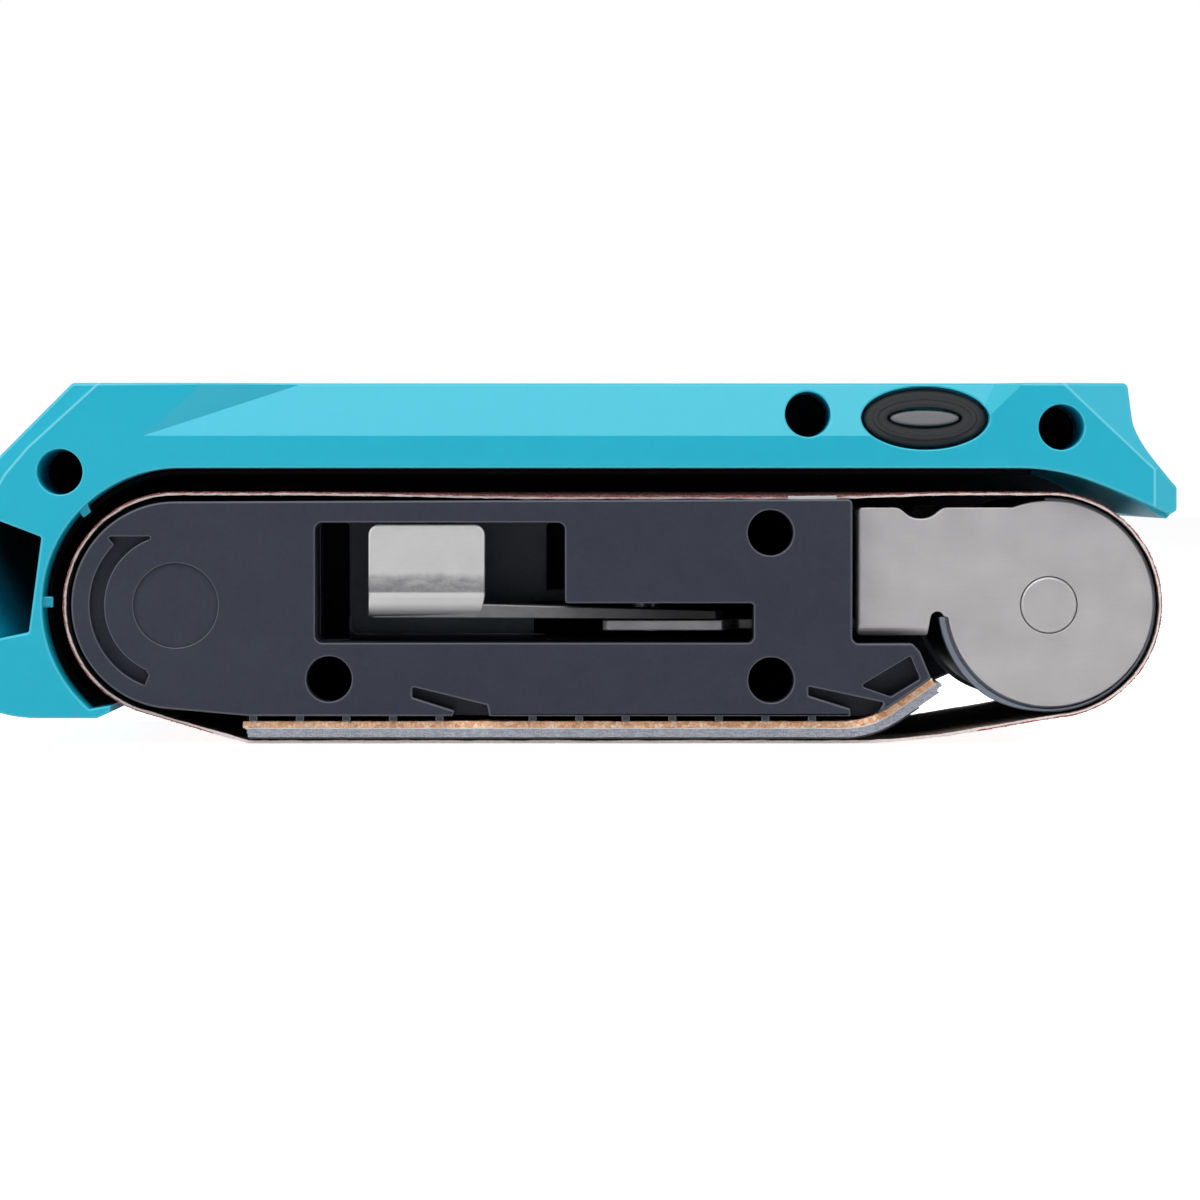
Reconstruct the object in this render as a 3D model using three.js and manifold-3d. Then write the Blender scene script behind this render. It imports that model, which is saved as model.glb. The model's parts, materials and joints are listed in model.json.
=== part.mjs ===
// Belt running unit of a compact hand-held belt sander, with its lower housing, in millimetres.
// X runs along the belt towards the front, Y runs away from the open side where the belt slides off,
// and Z is up. The origin is the middle of the flat sanding face, on the face itself.
import * as THREE from "three";
import { mergeVertices } from "three/addons/utils/BufferGeometryUtils.js";
import Module from "manifold-3d";

const wasm = await Module();
wasm.setup();

// ---------------------------------------------------------------- driving dimensions
const BELT_WIDTH = 76;
const BELT_THICKNESS = 0.8;
const ROLLER_RADIUS = 20;
const ROLLER_GAP = 0.25; // between a roller and the inside of the belt
const DRUM_X = -72.5;
const IDLER_X = 90.2;
const AXLE_Z = 25.8;
const SOLE_REAR_X = -59; // where the belt meets the flat shoe
const SOLE_FRONT_X = 51.8; // where the shoe starts to curve up

const BELT_NEAR = -BELT_WIDTH / 2;
const BELT_FAR = BELT_WIDTH / 2;
const FRAME_NEAR = -40;
const FRAME_FAR = 41;
const FRAME_TOP = 45.1;
const FRAME_BOTTOM = 5.2;
const FRAME_RIGHT = 53.4;
const BLOCK_LEFT = -51.5; // the solid block ends just short of the drum
const CHEEK_RADIUS = 19.3; // round rear end of the frame
const CHEEK_INNER = -35; // inner face of the plate that covers the drum
const ROLLER_NEAR = -34.4;
const ROLLER_FAR = 34.4;

const LAYER_GAP = 0.05; // between layers that lie on each other
const SHEET_BOTTOM = BELT_THICKNESS + LAYER_GAP;
const SHEET_TOP = SHEET_BOTTOM + 0.35;
const FELT_BOTTOM = SHEET_TOP + LAYER_GAP;
const FELT_TOP = FELT_BOTTOM + 1.55;
const CORK_BOTTOM = FELT_TOP + LAYER_GAP;
const CORK_TOP = CORK_BOTTOM + 1.35;
const RIB_BOTTOM = CORK_TOP + LAYER_GAP;
const NOSE_CENTRE_Z = CORK_BOTTOM + 16.85; // centre of the shoe's front curve
const NOSE_ANGLE = THREE.MathUtils.degToRad(34.5);
const NOSE_STRAIGHT = 9.1;

const SCREW_ACCESS_RADIUS = 4.24;
const FRAME_SCREWS = [[38.2, 39.3], [38.3, 11.9], [-43.9, 12.1]];
const HOUSING_SCREWS = [[-93.75, 50.6], [45.1, 61.3], [92.1, 58.9]];

const SHEET_METAL = 2;
const BRACKET_HALF_WIDTH = 37;
const BRACKET_LEFT = 54.4;
const BRACKET_TOP = 44;
const NECK_BOTTOM = 20.1;
const HEAD_RADIUS = 19.8;

const LEVER_BOTTOM = 23.4;
const LEVER_TOP = 25.7;
const LEVER_NEAR = -39.4;
const LEVER_PIVOT = [14, -27];
const CRANK_PIN = [16.2, -23.2];
const PIN_RADIUS = 1.6;
const LINK_BOTTOM = 21;
const LINK_TOP = 23;

const HOUSING_NEAR = -41;
const PARTING_PLANE = 2;
const HOUSING_FAR = 41;
const DECK_Z = 67.1;
const TUNNEL_Z = 51.3;
const TUNNEL_RADIUS = 25.5; // housing's inner wall round the drum
const WALL = 3;
const REAR_X = -112;
const SIDE_NEAR = 41.1;
const SIDE_FAR = 45.1;
const NOZZLE_Y = 18;
const NOZZLE_Z = 31;

// ---------------------------------------------------------------- materials
const finish = (color, roughness, metalness) => new THREE.MeshStandardMaterial({ color, roughness, metalness });
const TEAL = finish(0x1fb0c8, 0.45, 0);
const DARK = finish(0x33363d, 0.6, 0);
const BLACK = finish(0x101113, 0.7, 0);
const STEEL = finish(0x9a9a98, 0.35, 1);
const ZINC = finish(0xb8bcc0, 0.3, 1);
const RUBBER = finish(0x1c1d20, 0.85, 0);
const CORK = finish(0xc98f5c, 0.9, 0);
const FELT = finish(0x737780, 0.95, 0);
const GRAPHITE = finish(0x34363b, 0.6, 0);
const ABRASIVE = finish(0x7a3a32, 0.95, 0);
const GREY = finish(0x7c8086, 0.5, 0);

// ---------------------------------------------------------------- solid helpers
const unit = new THREE.Group();
unit.name = "belt_unit";

const solid = (geometry) => {
  const bare = geometry.index ? geometry.clone() : geometry;
  for (const name of ["normal", "uv"]) bare.deleteAttribute(name);
  const merged = mergeVertices(bare, 1e-4);
  const mesh = new wasm.Mesh({
    numProp: 3,
    vertProperties: new Float32Array(merged.attributes.position.array),
    triVerts: new Uint32Array(merged.index.array),
  });
  return new wasm.Manifold(mesh);
};

const add = (name, body, material) => {
  const mesh = body.getMesh();
  const geometry = new THREE.BufferGeometry();
  geometry.setAttribute("position", new THREE.BufferAttribute(mesh.vertProperties, 3));
  geometry.setIndex(new THREE.BufferAttribute(mesh.triVerts, 1));
  geometry.computeVertexNormals();
  const node = new THREE.Mesh(geometry, material);
  node.name = name;
  unit.add(node);
};

const cut = (body, ...tools) => tools.reduce((left, tool) => left.subtract(tool), body);
const join = (body, ...others) => others.reduce((all, other) => all.add(other), body);

// A side-view outline (x, z) that runs from yNear to yFar.
const plate = (outline, yNear, yFar, curveSegments = 12) => {
  const depth = yFar - yNear;
  const geometry = new THREE.ExtrudeGeometry(outline, { depth, bevelEnabled: false, curveSegments });
  return solid(geometry.rotateX(Math.PI / 2).translate(0, yFar, 0));
};

// A plan-view outline (x, y) that runs from zLow to zHigh.
const slab = (outline, zLow, zHigh, curveSegments = 8) => {
  const depth = zHigh - zLow;
  const geometry = new THREE.ExtrudeGeometry(outline, { depth, bevelEnabled: false, curveSegments });
  return solid(geometry.translate(0, 0, zLow));
};

const box = (x0, x1, y0, y1, z0, z1) => {
  const geometry = new THREE.BoxGeometry(x1 - x0, y1 - y0, z1 - z0);
  return solid(geometry.translate((x0 + x1) / 2, (y0 + y1) / 2, (z0 + z1) / 2));
};

const rodY = (radius, yNear, yFar, x, z, sides = 20) => {
  const geometry = new THREE.CylinderGeometry(radius, radius, yFar - yNear, sides);
  return solid(geometry.translate(x, (yNear + yFar) / 2, z));
};

const rodX = (radius, x0, x1, y, z, sides = 24) => {
  const geometry = new THREE.CylinderGeometry(radius, radius, x1 - x0, sides).rotateZ(Math.PI / 2);
  return solid(geometry.translate((x0 + x1) / 2, y, z));
};

const rodZ = (radius, z0, z1, x, y, sides = 20) => {
  const geometry = new THREE.CylinderGeometry(radius, radius, z1 - z0, sides).rotateX(Math.PI / 2);
  return solid(geometry.translate(x, y, (z0 + z1) / 2));
};

// A body of revolution about a line along Y: profile is a list of [radius, y], closed through the axis.
const turned = (profile, x, z, sides = 24) => {
  const points = profile.map(([radius, y]) => new THREE.Vector2(radius, y));
  return solid(new THREE.LatheGeometry(points, sides).translate(x, 0, z));
};

const polygon = (...points) => new THREE.Shape(points.map(([a, b]) => new THREE.Vector2(a, b)));

const circlePath = (x, z, radius) => {
  const path = new THREE.Path();
  path.absarc(x, z, radius, 0, 2 * Math.PI, false);
  return path;
};

const roundedBox = (x0, x1, z0, z1, radius) => {
  const shape = new THREE.Shape();
  shape.absarc(x0 + radius, z0 + radius, radius, Math.PI, 1.5 * Math.PI, false);
  shape.absarc(x1 - radius, z0 + radius, radius, 1.5 * Math.PI, 2 * Math.PI, false);
  shape.absarc(x1 - radius, z1 - radius, radius, 0, 0.5 * Math.PI, false);
  shape.absarc(x0 + radius, z1 - radius, radius, 0.5 * Math.PI, Math.PI, false);
  return shape;
};

const ring = (outer, inner, yNear, yFar, x, z, sides = 20) =>
  cut(rodY(outer, yNear, yFar, x, z, sides), rodY(inner, yNear - 1, yFar + 1, x, z, sides));

// ---------------------------------------------------------------- sanding belt and shoe layers
// The belt is taut over the top, wraps both rollers, lies flat under the shoe and rises to the
// front roller in a shallow sweep.
const beltLine = (offset) => {
  const radius = ROLLER_RADIUS + ROLLER_GAP + offset;
  const bottom = BELT_THICKNESS - offset;
  const rise = AXLE_Z - bottom;
  const run = DRUM_X - SOLE_REAR_X;
  const leaveDrum = -Math.acos(radius / Math.hypot(run, rise)) + Math.atan2(-rise, -run);
  const leaveIdler = THREE.MathUtils.degToRad(-84);
  const line = new THREE.Shape();
  line.moveTo(SOLE_REAR_X, bottom);
  line.lineTo(SOLE_FRONT_X, bottom);
  const x1 = IDLER_X + radius * Math.cos(leaveIdler);
  const z1 = AXLE_Z + radius * Math.sin(leaveIdler);
  const slope = -1 / Math.tan(leaveIdler);
  line.bezierCurveTo(SOLE_FRONT_X + 16, bottom, x1 - 14, z1 - 14 * slope - 0.6, x1, z1);
  line.absarc(IDLER_X, AXLE_Z, radius, leaveIdler, Math.PI / 2, false);
  line.absarc(DRUM_X, AXLE_Z, radius, Math.PI / 2, 2 * Math.PI + leaveDrum, false);
  return line;
};

const makeBelt = () => {
  const loop = beltLine(BELT_THICKNESS);
  loop.holes.push(beltLine(0));
  add("sanding_belt", plate(loop, BELT_NEAR, BELT_FAR, 13), ABRASIVE);
};

// A layer of the shoe: flat, then curved up round the nose, then straight.
const shoeLayer = (bottom, top, rearX, straight) => {
  const outer = NOSE_CENTRE_Z - bottom;
  const inner = NOSE_CENTRE_Z - top;
  const end = (radius) => [
    SOLE_FRONT_X + radius * Math.sin(NOSE_ANGLE) + straight * Math.cos(NOSE_ANGLE),
    NOSE_CENTRE_Z - radius * Math.cos(NOSE_ANGLE) + straight * Math.sin(NOSE_ANGLE),
  ];
  const down = -Math.PI / 2;
  const shape = new THREE.Shape();
  shape.moveTo(rearX, top);
  shape.lineTo(rearX, bottom);
  shape.absarc(SOLE_FRONT_X, NOSE_CENTRE_Z, outer, down, down + NOSE_ANGLE, false);
  shape.lineTo(...end(outer));
  shape.lineTo(...end(inner));
  shape.absarc(SOLE_FRONT_X, NOSE_CENTRE_Z, inner, down + NOSE_ANGLE, down, true);
  return shape;
};

const makeShoe = () => {
  const near = BELT_NEAR - 0.6;
  const far = BELT_FAR - 0.6;
  add("cork_pad", plate(shoeLayer(CORK_BOTTOM, CORK_TOP, -60, NOSE_STRAIGHT), near, far, 8), CORK);
  add("felt_pad", plate(shoeLayer(FELT_BOTTOM, FELT_TOP, -59, NOSE_STRAIGHT + 0.6), near, far, 8), FELT);
  add("glide_sheet", plate(shoeLayer(SHEET_BOTTOM, SHEET_TOP, -58.8, NOSE_STRAIGHT - 1.2), near, far, 8), GRAPHITE);
};

// ---------------------------------------------------------------- belt frame
const RIB_PITCH = 8.66;
const RIB_WIDTH = 1.5;
const RIB_FIRST = -58;
const RIB_COUNT = 13;
const HOOK_RIB = 5; // the rear hook slot opens where this rib would be

// Side view of the frame. With roundEnd it reaches back over the drum, without it is the block alone.
const frameOutline = (roundEnd) => {
  const shape = new THREE.Shape();
  const noseRadius = NOSE_CENTRE_Z - RIB_BOTTOM;
  const down = -Math.PI / 2;
  if (roundEnd) {
    shape.moveTo(DRUM_X, FRAME_TOP);
    shape.absarc(DRUM_X, AXLE_Z, CHEEK_RADIUS, Math.PI / 2, 1.5 * Math.PI, false);
    shape.lineTo(RIB_FIRST - RIB_WIDTH / 2, FRAME_BOTTOM);
  } else {
    shape.moveTo(BLOCK_LEFT, FRAME_TOP);
    shape.lineTo(BLOCK_LEFT, FRAME_BOTTOM);
  }
  for (let i = 0; i < RIB_COUNT; i++) {
    const x = RIB_FIRST + i * RIB_PITCH;
    if (i === HOOK_RIB || (!roundEnd && x < BLOCK_LEFT + RIB_WIDTH)) continue;
    shape.lineTo(x - RIB_WIDTH / 2, FRAME_BOTTOM);
    shape.lineTo(x - RIB_WIDTH / 2, RIB_BOTTOM);
    shape.lineTo(x + RIB_WIDTH / 2, RIB_BOTTOM);
    shape.lineTo(x + RIB_WIDTH / 2, FRAME_BOTTOM);
  }
  const start = Math.asin(4.6 / noseRadius);
  shape.absarc(SOLE_FRONT_X, NOSE_CENTRE_Z, noseRadius, down + start, down + NOSE_ANGLE, false);
  shape.lineTo(68.05, 12.18);
  shape.lineTo(65, 17.7);
  shape.lineTo(63.6, 18.7);
  shape.absarc(FRAME_RIGHT + 1.2, 19.9, 1.2, 1.5 * Math.PI, Math.PI, true);
  shape.lineTo(FRAME_RIGHT, FRAME_TOP);
  return shape;
};

// Crescent recess round the rear end, cut square at its upper end.
const crescentOutline = () => {
  const inner = 13.2;
  const outer = 15.9;
  const shape = new THREE.Shape();
  const degrees = THREE.MathUtils.degToRad;
  shape.moveTo(DRUM_X - 3.9, AXLE_Z + 12.8);
  shape.lineTo(DRUM_X - 12.4, AXLE_Z + 12.8);
  shape.lineTo(DRUM_X - 11.3, AXLE_Z + 11.3);
  shape.absarc(DRUM_X, AXLE_Z, outer, degrees(135), degrees(250), false);
  shape.absarc(DRUM_X, AXLE_Z, inner, degrees(249), degrees(108), true);
  return shape;
};

const leverWindowOutline = () => {
  const shape = new THREE.Shape();
  const right = Math.PI / 2;
  shape.absarc(-45.1, 20.2, 1.4, 2 * right, 3 * right, false);
  shape.lineTo(0, 18.8);
  shape.absarc(33.9, 20.4, 1.2, 3 * right, 4 * right, false);
  shape.lineTo(35.1, 26.2);
  shape.lineTo(0, 26.2);
  shape.absarc(-1.4, 39.8, 1.4, 0, right, false);
  shape.absarc(-45.1, 39.8, 1.4, right, 2 * right, false);
  return shape;
};

const makeFrame = () => {
  const past = 1; // how far a cutting tool reaches past the face it opens
  const rearHook = polygon([-28.4, 10.6], [-28.4, 8.7], [-20.5, 6.2], [-21, 3], [-14.1, 3], [-14.5, 7.2]);
  const frontHook = polygon([45.2, 10.7], [45.3, 8.9], [53, 6.4], [53.1, 3], [56.3, 4.6], [59.3, 7.6]);
  const nosePocket = polygon([54.9, 10.8], [60.6, 8.8], [66, 12.1], [64.2, 16.4]);
  let body = join(
    plate(frameOutline(true), FRAME_NEAR, CHEEK_INNER, 10),
    plate(frameOutline(false), CHEEK_INNER - 0.5, FRAME_FAR, 8),
    rodY(12, CHEEK_INNER - 0.5, CHEEK_INNER + 6, DRUM_X, AXLE_Z),
  );
  body = cut(
    body,
    rodY(7.9, FRAME_NEAR - past, FRAME_NEAR + 0.6, DRUM_X + 0.1, AXLE_Z, 28),
    rodY(8.15, CHEEK_INNER + 0.9, CHEEK_INNER + 7, DRUM_X, AXLE_Z),
    plate(crescentOutline(), FRAME_NEAR - past, FRAME_NEAR + 2.6, 7),
    plate(leverWindowOutline(), FRAME_NEAR - past, -24, 4),
    box(-6, 35.1, -24.5, -9, 19.3, 26.2),
    plate(rearHook, FRAME_NEAR - past, -18),
    plate(frontHook, FRAME_NEAR - past, -18),
    plate(nosePocket, FRAME_NEAR - past, -18),
    box(46.2, FRAME_RIGHT + past, -37.4, 37.6, 19.4, FRAME_TOP + past),
    rodX(6.6, 20, 47, 0, AXLE_Z, 20),
    box(34, 47, -29, -17, 20.2, 23.8),
    rodZ(PIN_RADIUS + 0.1, 24, 34, ...LEVER_PIVOT),
    rodX(2.95, 6, 21, 0, AXLE_Z, 16),
  );
  for (const [x, z] of FRAME_SCREWS) {
    body = cut(
      body,
      rodY(SCREW_ACCESS_RADIUS, FRAME_NEAR - past, 22, x, z, 16),
      rodY(2.4, 21, FRAME_FAR + past, x, z, 8),
    );
  }
  add("belt_frame", body, DARK);
};

// ---------------------------------------------------------------- drive drum
const DRUM_FAR = 36;

const makeDrum = () => {
  const sleeve = 3.5;
  const core = ROLLER_RADIUS - sleeve - 0.1;
  const bore = 5.15;
  add(
    "drum_sleeve",
    ring(ROLLER_RADIUS, ROLLER_RADIUS - sleeve, ROLLER_NEAR, DRUM_FAR, DRUM_X, AXLE_Z, 36),
    RUBBER,
  );
  add(
    "drum_core",
    cut(
      rodY(core, ROLLER_NEAR + 0.4, DRUM_FAR - 0.4, DRUM_X, AXLE_Z, 36),
      rodY(bore, ROLLER_NEAR - 1, DRUM_FAR + 1, DRUM_X, AXLE_Z, 24),
      rodY(12.6, ROLLER_NEAR - 1, ROLLER_NEAR + 7, DRUM_X, AXLE_Z, 28),
    ),
    GREY,
  );
  const shaft = [
    [0, -33.8], [3.9, -33.8], [3.9, -27.6], [5, -27.6], [5, 48.9], [4.2, 48.9], [4.2, 63.2], [0, 63.2],
  ];
  add("drum_shaft", turned(shaft, DRUM_X, AXLE_Z, 24), STEEL);
  add("drum_bearing_near", ring(8, 3.98, -33.9, -28.9, DRUM_X, AXLE_Z), STEEL);
  add("drum_bearing_far", ring(9.35, 5.08, 42.5, 48.5, DRUM_X, AXLE_Z), STEEL);
};

const PULLEY_NEAR = 51;
const PULLEY_FAR = 60.5;
const PULLEY_TEETH = 16;

const makePulley = () => {
  const outer = 12.4;
  const root = 11.2;
  const shape = new THREE.Shape();
  for (let i = 0; i < PULLEY_TEETH; i++) {
    const step = (2 * Math.PI) / PULLEY_TEETH;
    for (const [radius, part] of [[outer, 0.05], [outer, 0.45], [root, 0.58], [root, 0.92]]) {
      const angle = (i + part) * step;
      const x = DRUM_X + radius * Math.cos(angle);
      const z = AXLE_Z + radius * Math.sin(angle);
      if (i === 0 && part === 0.05) shape.moveTo(x, z);
      else shape.lineTo(x, z);
    }
  }
  const teeth = plate(shape, PULLEY_NEAR + 0.9, PULLEY_FAR - 0.9, 1);
  const flanges = [
    rodY(14, PULLEY_NEAR, PULLEY_NEAR + 1, DRUM_X, AXLE_Z, 32),
    rodY(14, PULLEY_FAR - 1, PULLEY_FAR, DRUM_X, AXLE_Z, 32),
  ];
  const bore = rodY(4.35, PULLEY_NEAR - 1, PULLEY_FAR + 1, DRUM_X, AXLE_Z, 24);
  add("driven_pulley", cut(join(teeth, ...flanges), bore), ZINC);
  add("pulley_clip", ring(6.4, 4.35, PULLEY_FAR + 0.1, PULLEY_FAR + 1.1, DRUM_X, AXLE_Z, 20), STEEL);
};

// ---------------------------------------------------------------- front roller in its sliding bracket
const cheekOutline = () => {
  const shape = new THREE.Shape();
  const meetHead = Math.acos((BRACKET_TOP - AXLE_Z) / HEAD_RADIUS);
  const slotAngle = Math.asin((23.4 - AXLE_Z) / HEAD_RADIUS);
  shape.moveTo(BRACKET_LEFT, NECK_BOTTOM + 0.6);
  shape.lineTo(BRACKET_LEFT + 0.6, NECK_BOTTOM);
  shape.lineTo(67.6, NECK_BOTTOM);
  shape.lineTo(68.1, 23.2);
  shape.absarc(69.3, 23.3, 1.15, Math.PI, 0, true);
  shape.absarc(IDLER_X, AXLE_Z, HEAD_RADIUS, Math.PI - slotAngle, 2.5 * Math.PI + meetHead, false);
  shape.lineTo(71.4, BRACKET_TOP);
  shape.bezierCurveTo(69.2, BRACKET_TOP, 69.4, BRACKET_TOP - 2.1, 66.3, BRACKET_TOP - 2.1);
  shape.bezierCurveTo(63.2, BRACKET_TOP - 2.1, 63.4, BRACKET_TOP, 61.2, BRACKET_TOP);
  shape.absarc(BRACKET_LEFT + 1.2, BRACKET_TOP - 1.2, 1.2, Math.PI / 2, Math.PI, false);
  shape.holes.push(circlePath(IDLER_X, AXLE_Z, 5.35));
  return shape;
};

const makeBracket = () => {
  const near = -BRACKET_HALF_WIDTH;
  const far = BRACKET_HALF_WIDTH;
  const web = box(BRACKET_LEFT, BRACKET_LEFT + SHEET_METAL, near + 1, far - 1, NECK_BOTTOM, BRACKET_TOP - 1.5);
  const flange = (y0, y1) => box(BRACKET_LEFT + 0.7, 67.2, y0, y1, NECK_BOTTOM, NECK_BOTTOM + SHEET_METAL);
  const body = join(
    plate(cheekOutline(), near, near + SHEET_METAL, 8),
    plate(cheekOutline(), far - SHEET_METAL, far, 8),
    web,
    flange(near + 1, -30),
    flange(30, far - 1),
  );
  const rodHole = rodX(2.75, BRACKET_LEFT - 1, BRACKET_LEFT + 3, 0, AXLE_Z, 16);
  const linkSlot = box(BRACKET_LEFT - 1, BRACKET_LEFT + 3, -27.6, -18.4, LINK_BOTTOM - 0.4, LINK_TOP + 0.4);
  add("idler_bracket", cut(body, rodHole, linkSlot), STEEL);

  const axle = [
    [0, -37.2], [5.2, -37.2], [5.2, -35], [3.95, -35], [3.95, 34.9], [5.2, 34.9], [5.2, 40.5], [0, 40.5],
  ];
  add("idler_axle", turned(axle, IDLER_X, AXLE_Z, 28), ZINC);
  const groove = ring(8, 5.35, 37.2, 38.3, IDLER_X, AXLE_Z, 28);
  add("axle_clip", cut(groove, box(IDLER_X - 3, IDLER_X + 3, 36, 40, AXLE_Z - 9, AXLE_Z)), ZINC);
};

// Crowned a little so that the belt runs true, with a bearing let into each end.
const makeIdler = () => {
  const crown = 0.25;
  const recess = 7;
  const seat = 9.2;
  const bore = 6;
  const edge = ROLLER_RADIUS - crown;
  const profile = [
    [bore, ROLLER_NEAR + recess], [seat, ROLLER_NEAR + recess], [seat, ROLLER_NEAR], [edge - 1, ROLLER_NEAR],
    [edge, ROLLER_NEAR + 1], [ROLLER_RADIUS, 0], [edge, ROLLER_FAR - 1], [edge - 1, ROLLER_FAR],
    [seat, ROLLER_FAR], [seat, ROLLER_FAR - recess], [bore, ROLLER_FAR - recess], [bore, ROLLER_NEAR + recess],
  ];
  add("idler_roller", turned(profile, IDLER_X, AXLE_Z, 32), ZINC);
  const width = 5;
  add("idler_bearing_near", ring(9.05, 4.03, ROLLER_NEAR + 1, ROLLER_NEAR + 1 + width, IDLER_X, AXLE_Z), STEEL);
  add("idler_bearing_far", ring(9.05, 4.03, ROLLER_FAR - 1 - width, ROLLER_FAR - 1, IDLER_X, AXLE_Z), STEEL);
};

// ---------------------------------------------------------------- belt tensioner
class Helix extends THREE.Curve {
  constructor(radius, turns, x0, x1) {
    super();
    Object.assign(this, { radius, turns, x0, x1 });
  }

  getPoint(t, target = new THREE.Vector3()) {
    const angle = 2 * Math.PI * this.turns * t;
    const x = this.x0 + (this.x1 - this.x0) * t;
    return target.set(x, this.radius * Math.cos(angle), AXLE_Z + this.radius * Math.sin(angle));
  }
}

const makeTensioner = () => {
  const wire = 0.75;
  const turns = 7;
  const section = new THREE.Shape();
  section.absarc(0, 0, wire, 0, 2 * Math.PI, false);
  const path = new Helix(4.9, turns, 21, BRACKET_LEFT - 1);
  const coil = new THREE.ExtrudeGeometry(section, { steps: turns * 8, extrudePath: path, curveSegments: 3 });
  add("tension_spring", solid(coil), ZINC);

  const rod = join(
    rodX(2.6, 13, BRACKET_LEFT + 3, 0, AXLE_Z, 16),
    rodX(4.2, BRACKET_LEFT + SHEET_METAL + 0.1, BRACKET_LEFT + 4, 0, AXLE_Z, 16),
  );
  add("spring_rod", rod, ZINC);

  const [px, py] = LEVER_PIVOT;
  const [cx, cy] = CRANK_PIN;
  const arm = new THREE.Shape();
  arm.moveTo(-36.6, LEVER_NEAR);
  arm.lineTo(28.3, LEVER_NEAR);
  arm.absarc(28.3, LEVER_NEAR + 1.2, 1.2, -Math.PI / 2, 0, false);
  arm.lineTo(29.5, py + 1);
  arm.absarc(21, py, 8.5, 0.2, Math.PI / 2, false);
  arm.lineTo(9, py + 8.5);
  arm.lineTo(-8, -30.5);
  arm.lineTo(-36.6, -30.5);
  arm.holes.push(circlePath(px, py, PIN_RADIUS + 0.09), circlePath(cx, cy, PIN_RADIUS + 0.09));
  const tab = plate(roundedBox(-36.6, -14.9, LEVER_BOTTOM, 40.9, 1.4), LEVER_NEAR, LEVER_NEAR + 2.2, 5);
  add("tension_lever", join(slab(arm, LEVER_BOTTOM, LEVER_TOP), tab), STEEL);

  const headTop = LEVER_BOTTOM - 0.05;
  const pivot = join(rodZ(PIN_RADIUS, headTop - 0.1, 33.5, px, py, 14), rodZ(2.5, headTop - 0.25, headTop, px, py, 14));
  add("lever_pivot_pin", pivot, ZINC);
  add("crank_pin", rodZ(PIN_RADIUS, LINK_BOTTOM - 0.4, LEVER_TOP + 0.3, cx, cy, 14), ZINC);

  const link = new THREE.Shape();
  const head = BRACKET_LEFT + SHEET_METAL + 0.4;
  link.moveTo(8, -36);
  link.lineTo(29.3, -36);
  link.lineTo(32, -27);
  link.lineTo(head, -27);
  link.lineTo(head, -29.3);
  link.lineTo(head + 2.5, -29.3);
  link.lineTo(head + 2.5, -16.7);
  link.lineTo(head, -16.7);
  link.lineTo(head, -19);
  link.lineTo(11, -19);
  link.lineTo(7, -23);
  link.lineTo(7, -35);
  const yoke = new THREE.Path();
  const yokeRadius = PIN_RADIUS + 0.35;
  yoke.absarc(cx, cy + 0.9, yokeRadius, 0, Math.PI, false);
  yoke.absarc(cx, cy - 0.9, yokeRadius, Math.PI, 2 * Math.PI, false);
  link.holes.push(yoke);
  add("pull_link", slab(link, LINK_BOTTOM, LINK_TOP), STEEL);
};

// ---------------------------------------------------------------- lower housing
// Side view of the housing. The deep version follows the front roller closely, the shallow one at
// the open face is cut back there.
const housingOutline = (deep) => {
  const degrees = THREE.MathUtils.degToRad;
  const shape = new THREE.Shape();
  shape.moveTo(-91.4, DECK_Z);
  shape.lineTo(REAR_X + 1.5, 48);
  shape.lineTo(REAR_X, 45.5);
  shape.lineTo(REAR_X, 12.5);
  shape.bezierCurveTo(REAR_X, 7, -104, 4.8, -98, 4.8);
  shape.lineTo(-87, 4.8);
  shape.lineTo(-84.6, 5.9);
  shape.lineTo(-84.4, 7.2);
  shape.absarc(DRUM_X + 0.9, AXLE_Z, TUNNEL_RADIUS, degrees(229), degrees(90), true);
  if (deep) {
    shape.absarc(IDLER_X - 3, AXLE_Z, TUNNEL_RADIUS, degrees(90), degrees(42), true);
    shape.lineTo(112.4, 41.9);
  } else {
    shape.lineTo(84, TUNNEL_Z);
    shape.bezierCurveTo(94, TUNNEL_Z, 99, 48.6, 112.4, 42.9);
  }
  shape.lineTo(113.7, 43.9);
  shape.lineTo(113.7, 47.2);
  shape.bezierCurveTo(111, 50.6, 105.6, 56, 105.3, 60.6);
  shape.lineTo(104.6, DECK_Z);
  return shape;
};

const pocketOutline = () => polygon([REAR_X - 1, 44.6], [-97.2, 38.5], [-99.6, 20.8], [REAR_X - 1, 18.2]);

const ovalPath = (a, b) => {
  const oval = new THREE.Shape();
  oval.absellipse(66.9, 60.6, a, b, 0, 2 * Math.PI, false, 0);
  return oval;
};

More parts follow.
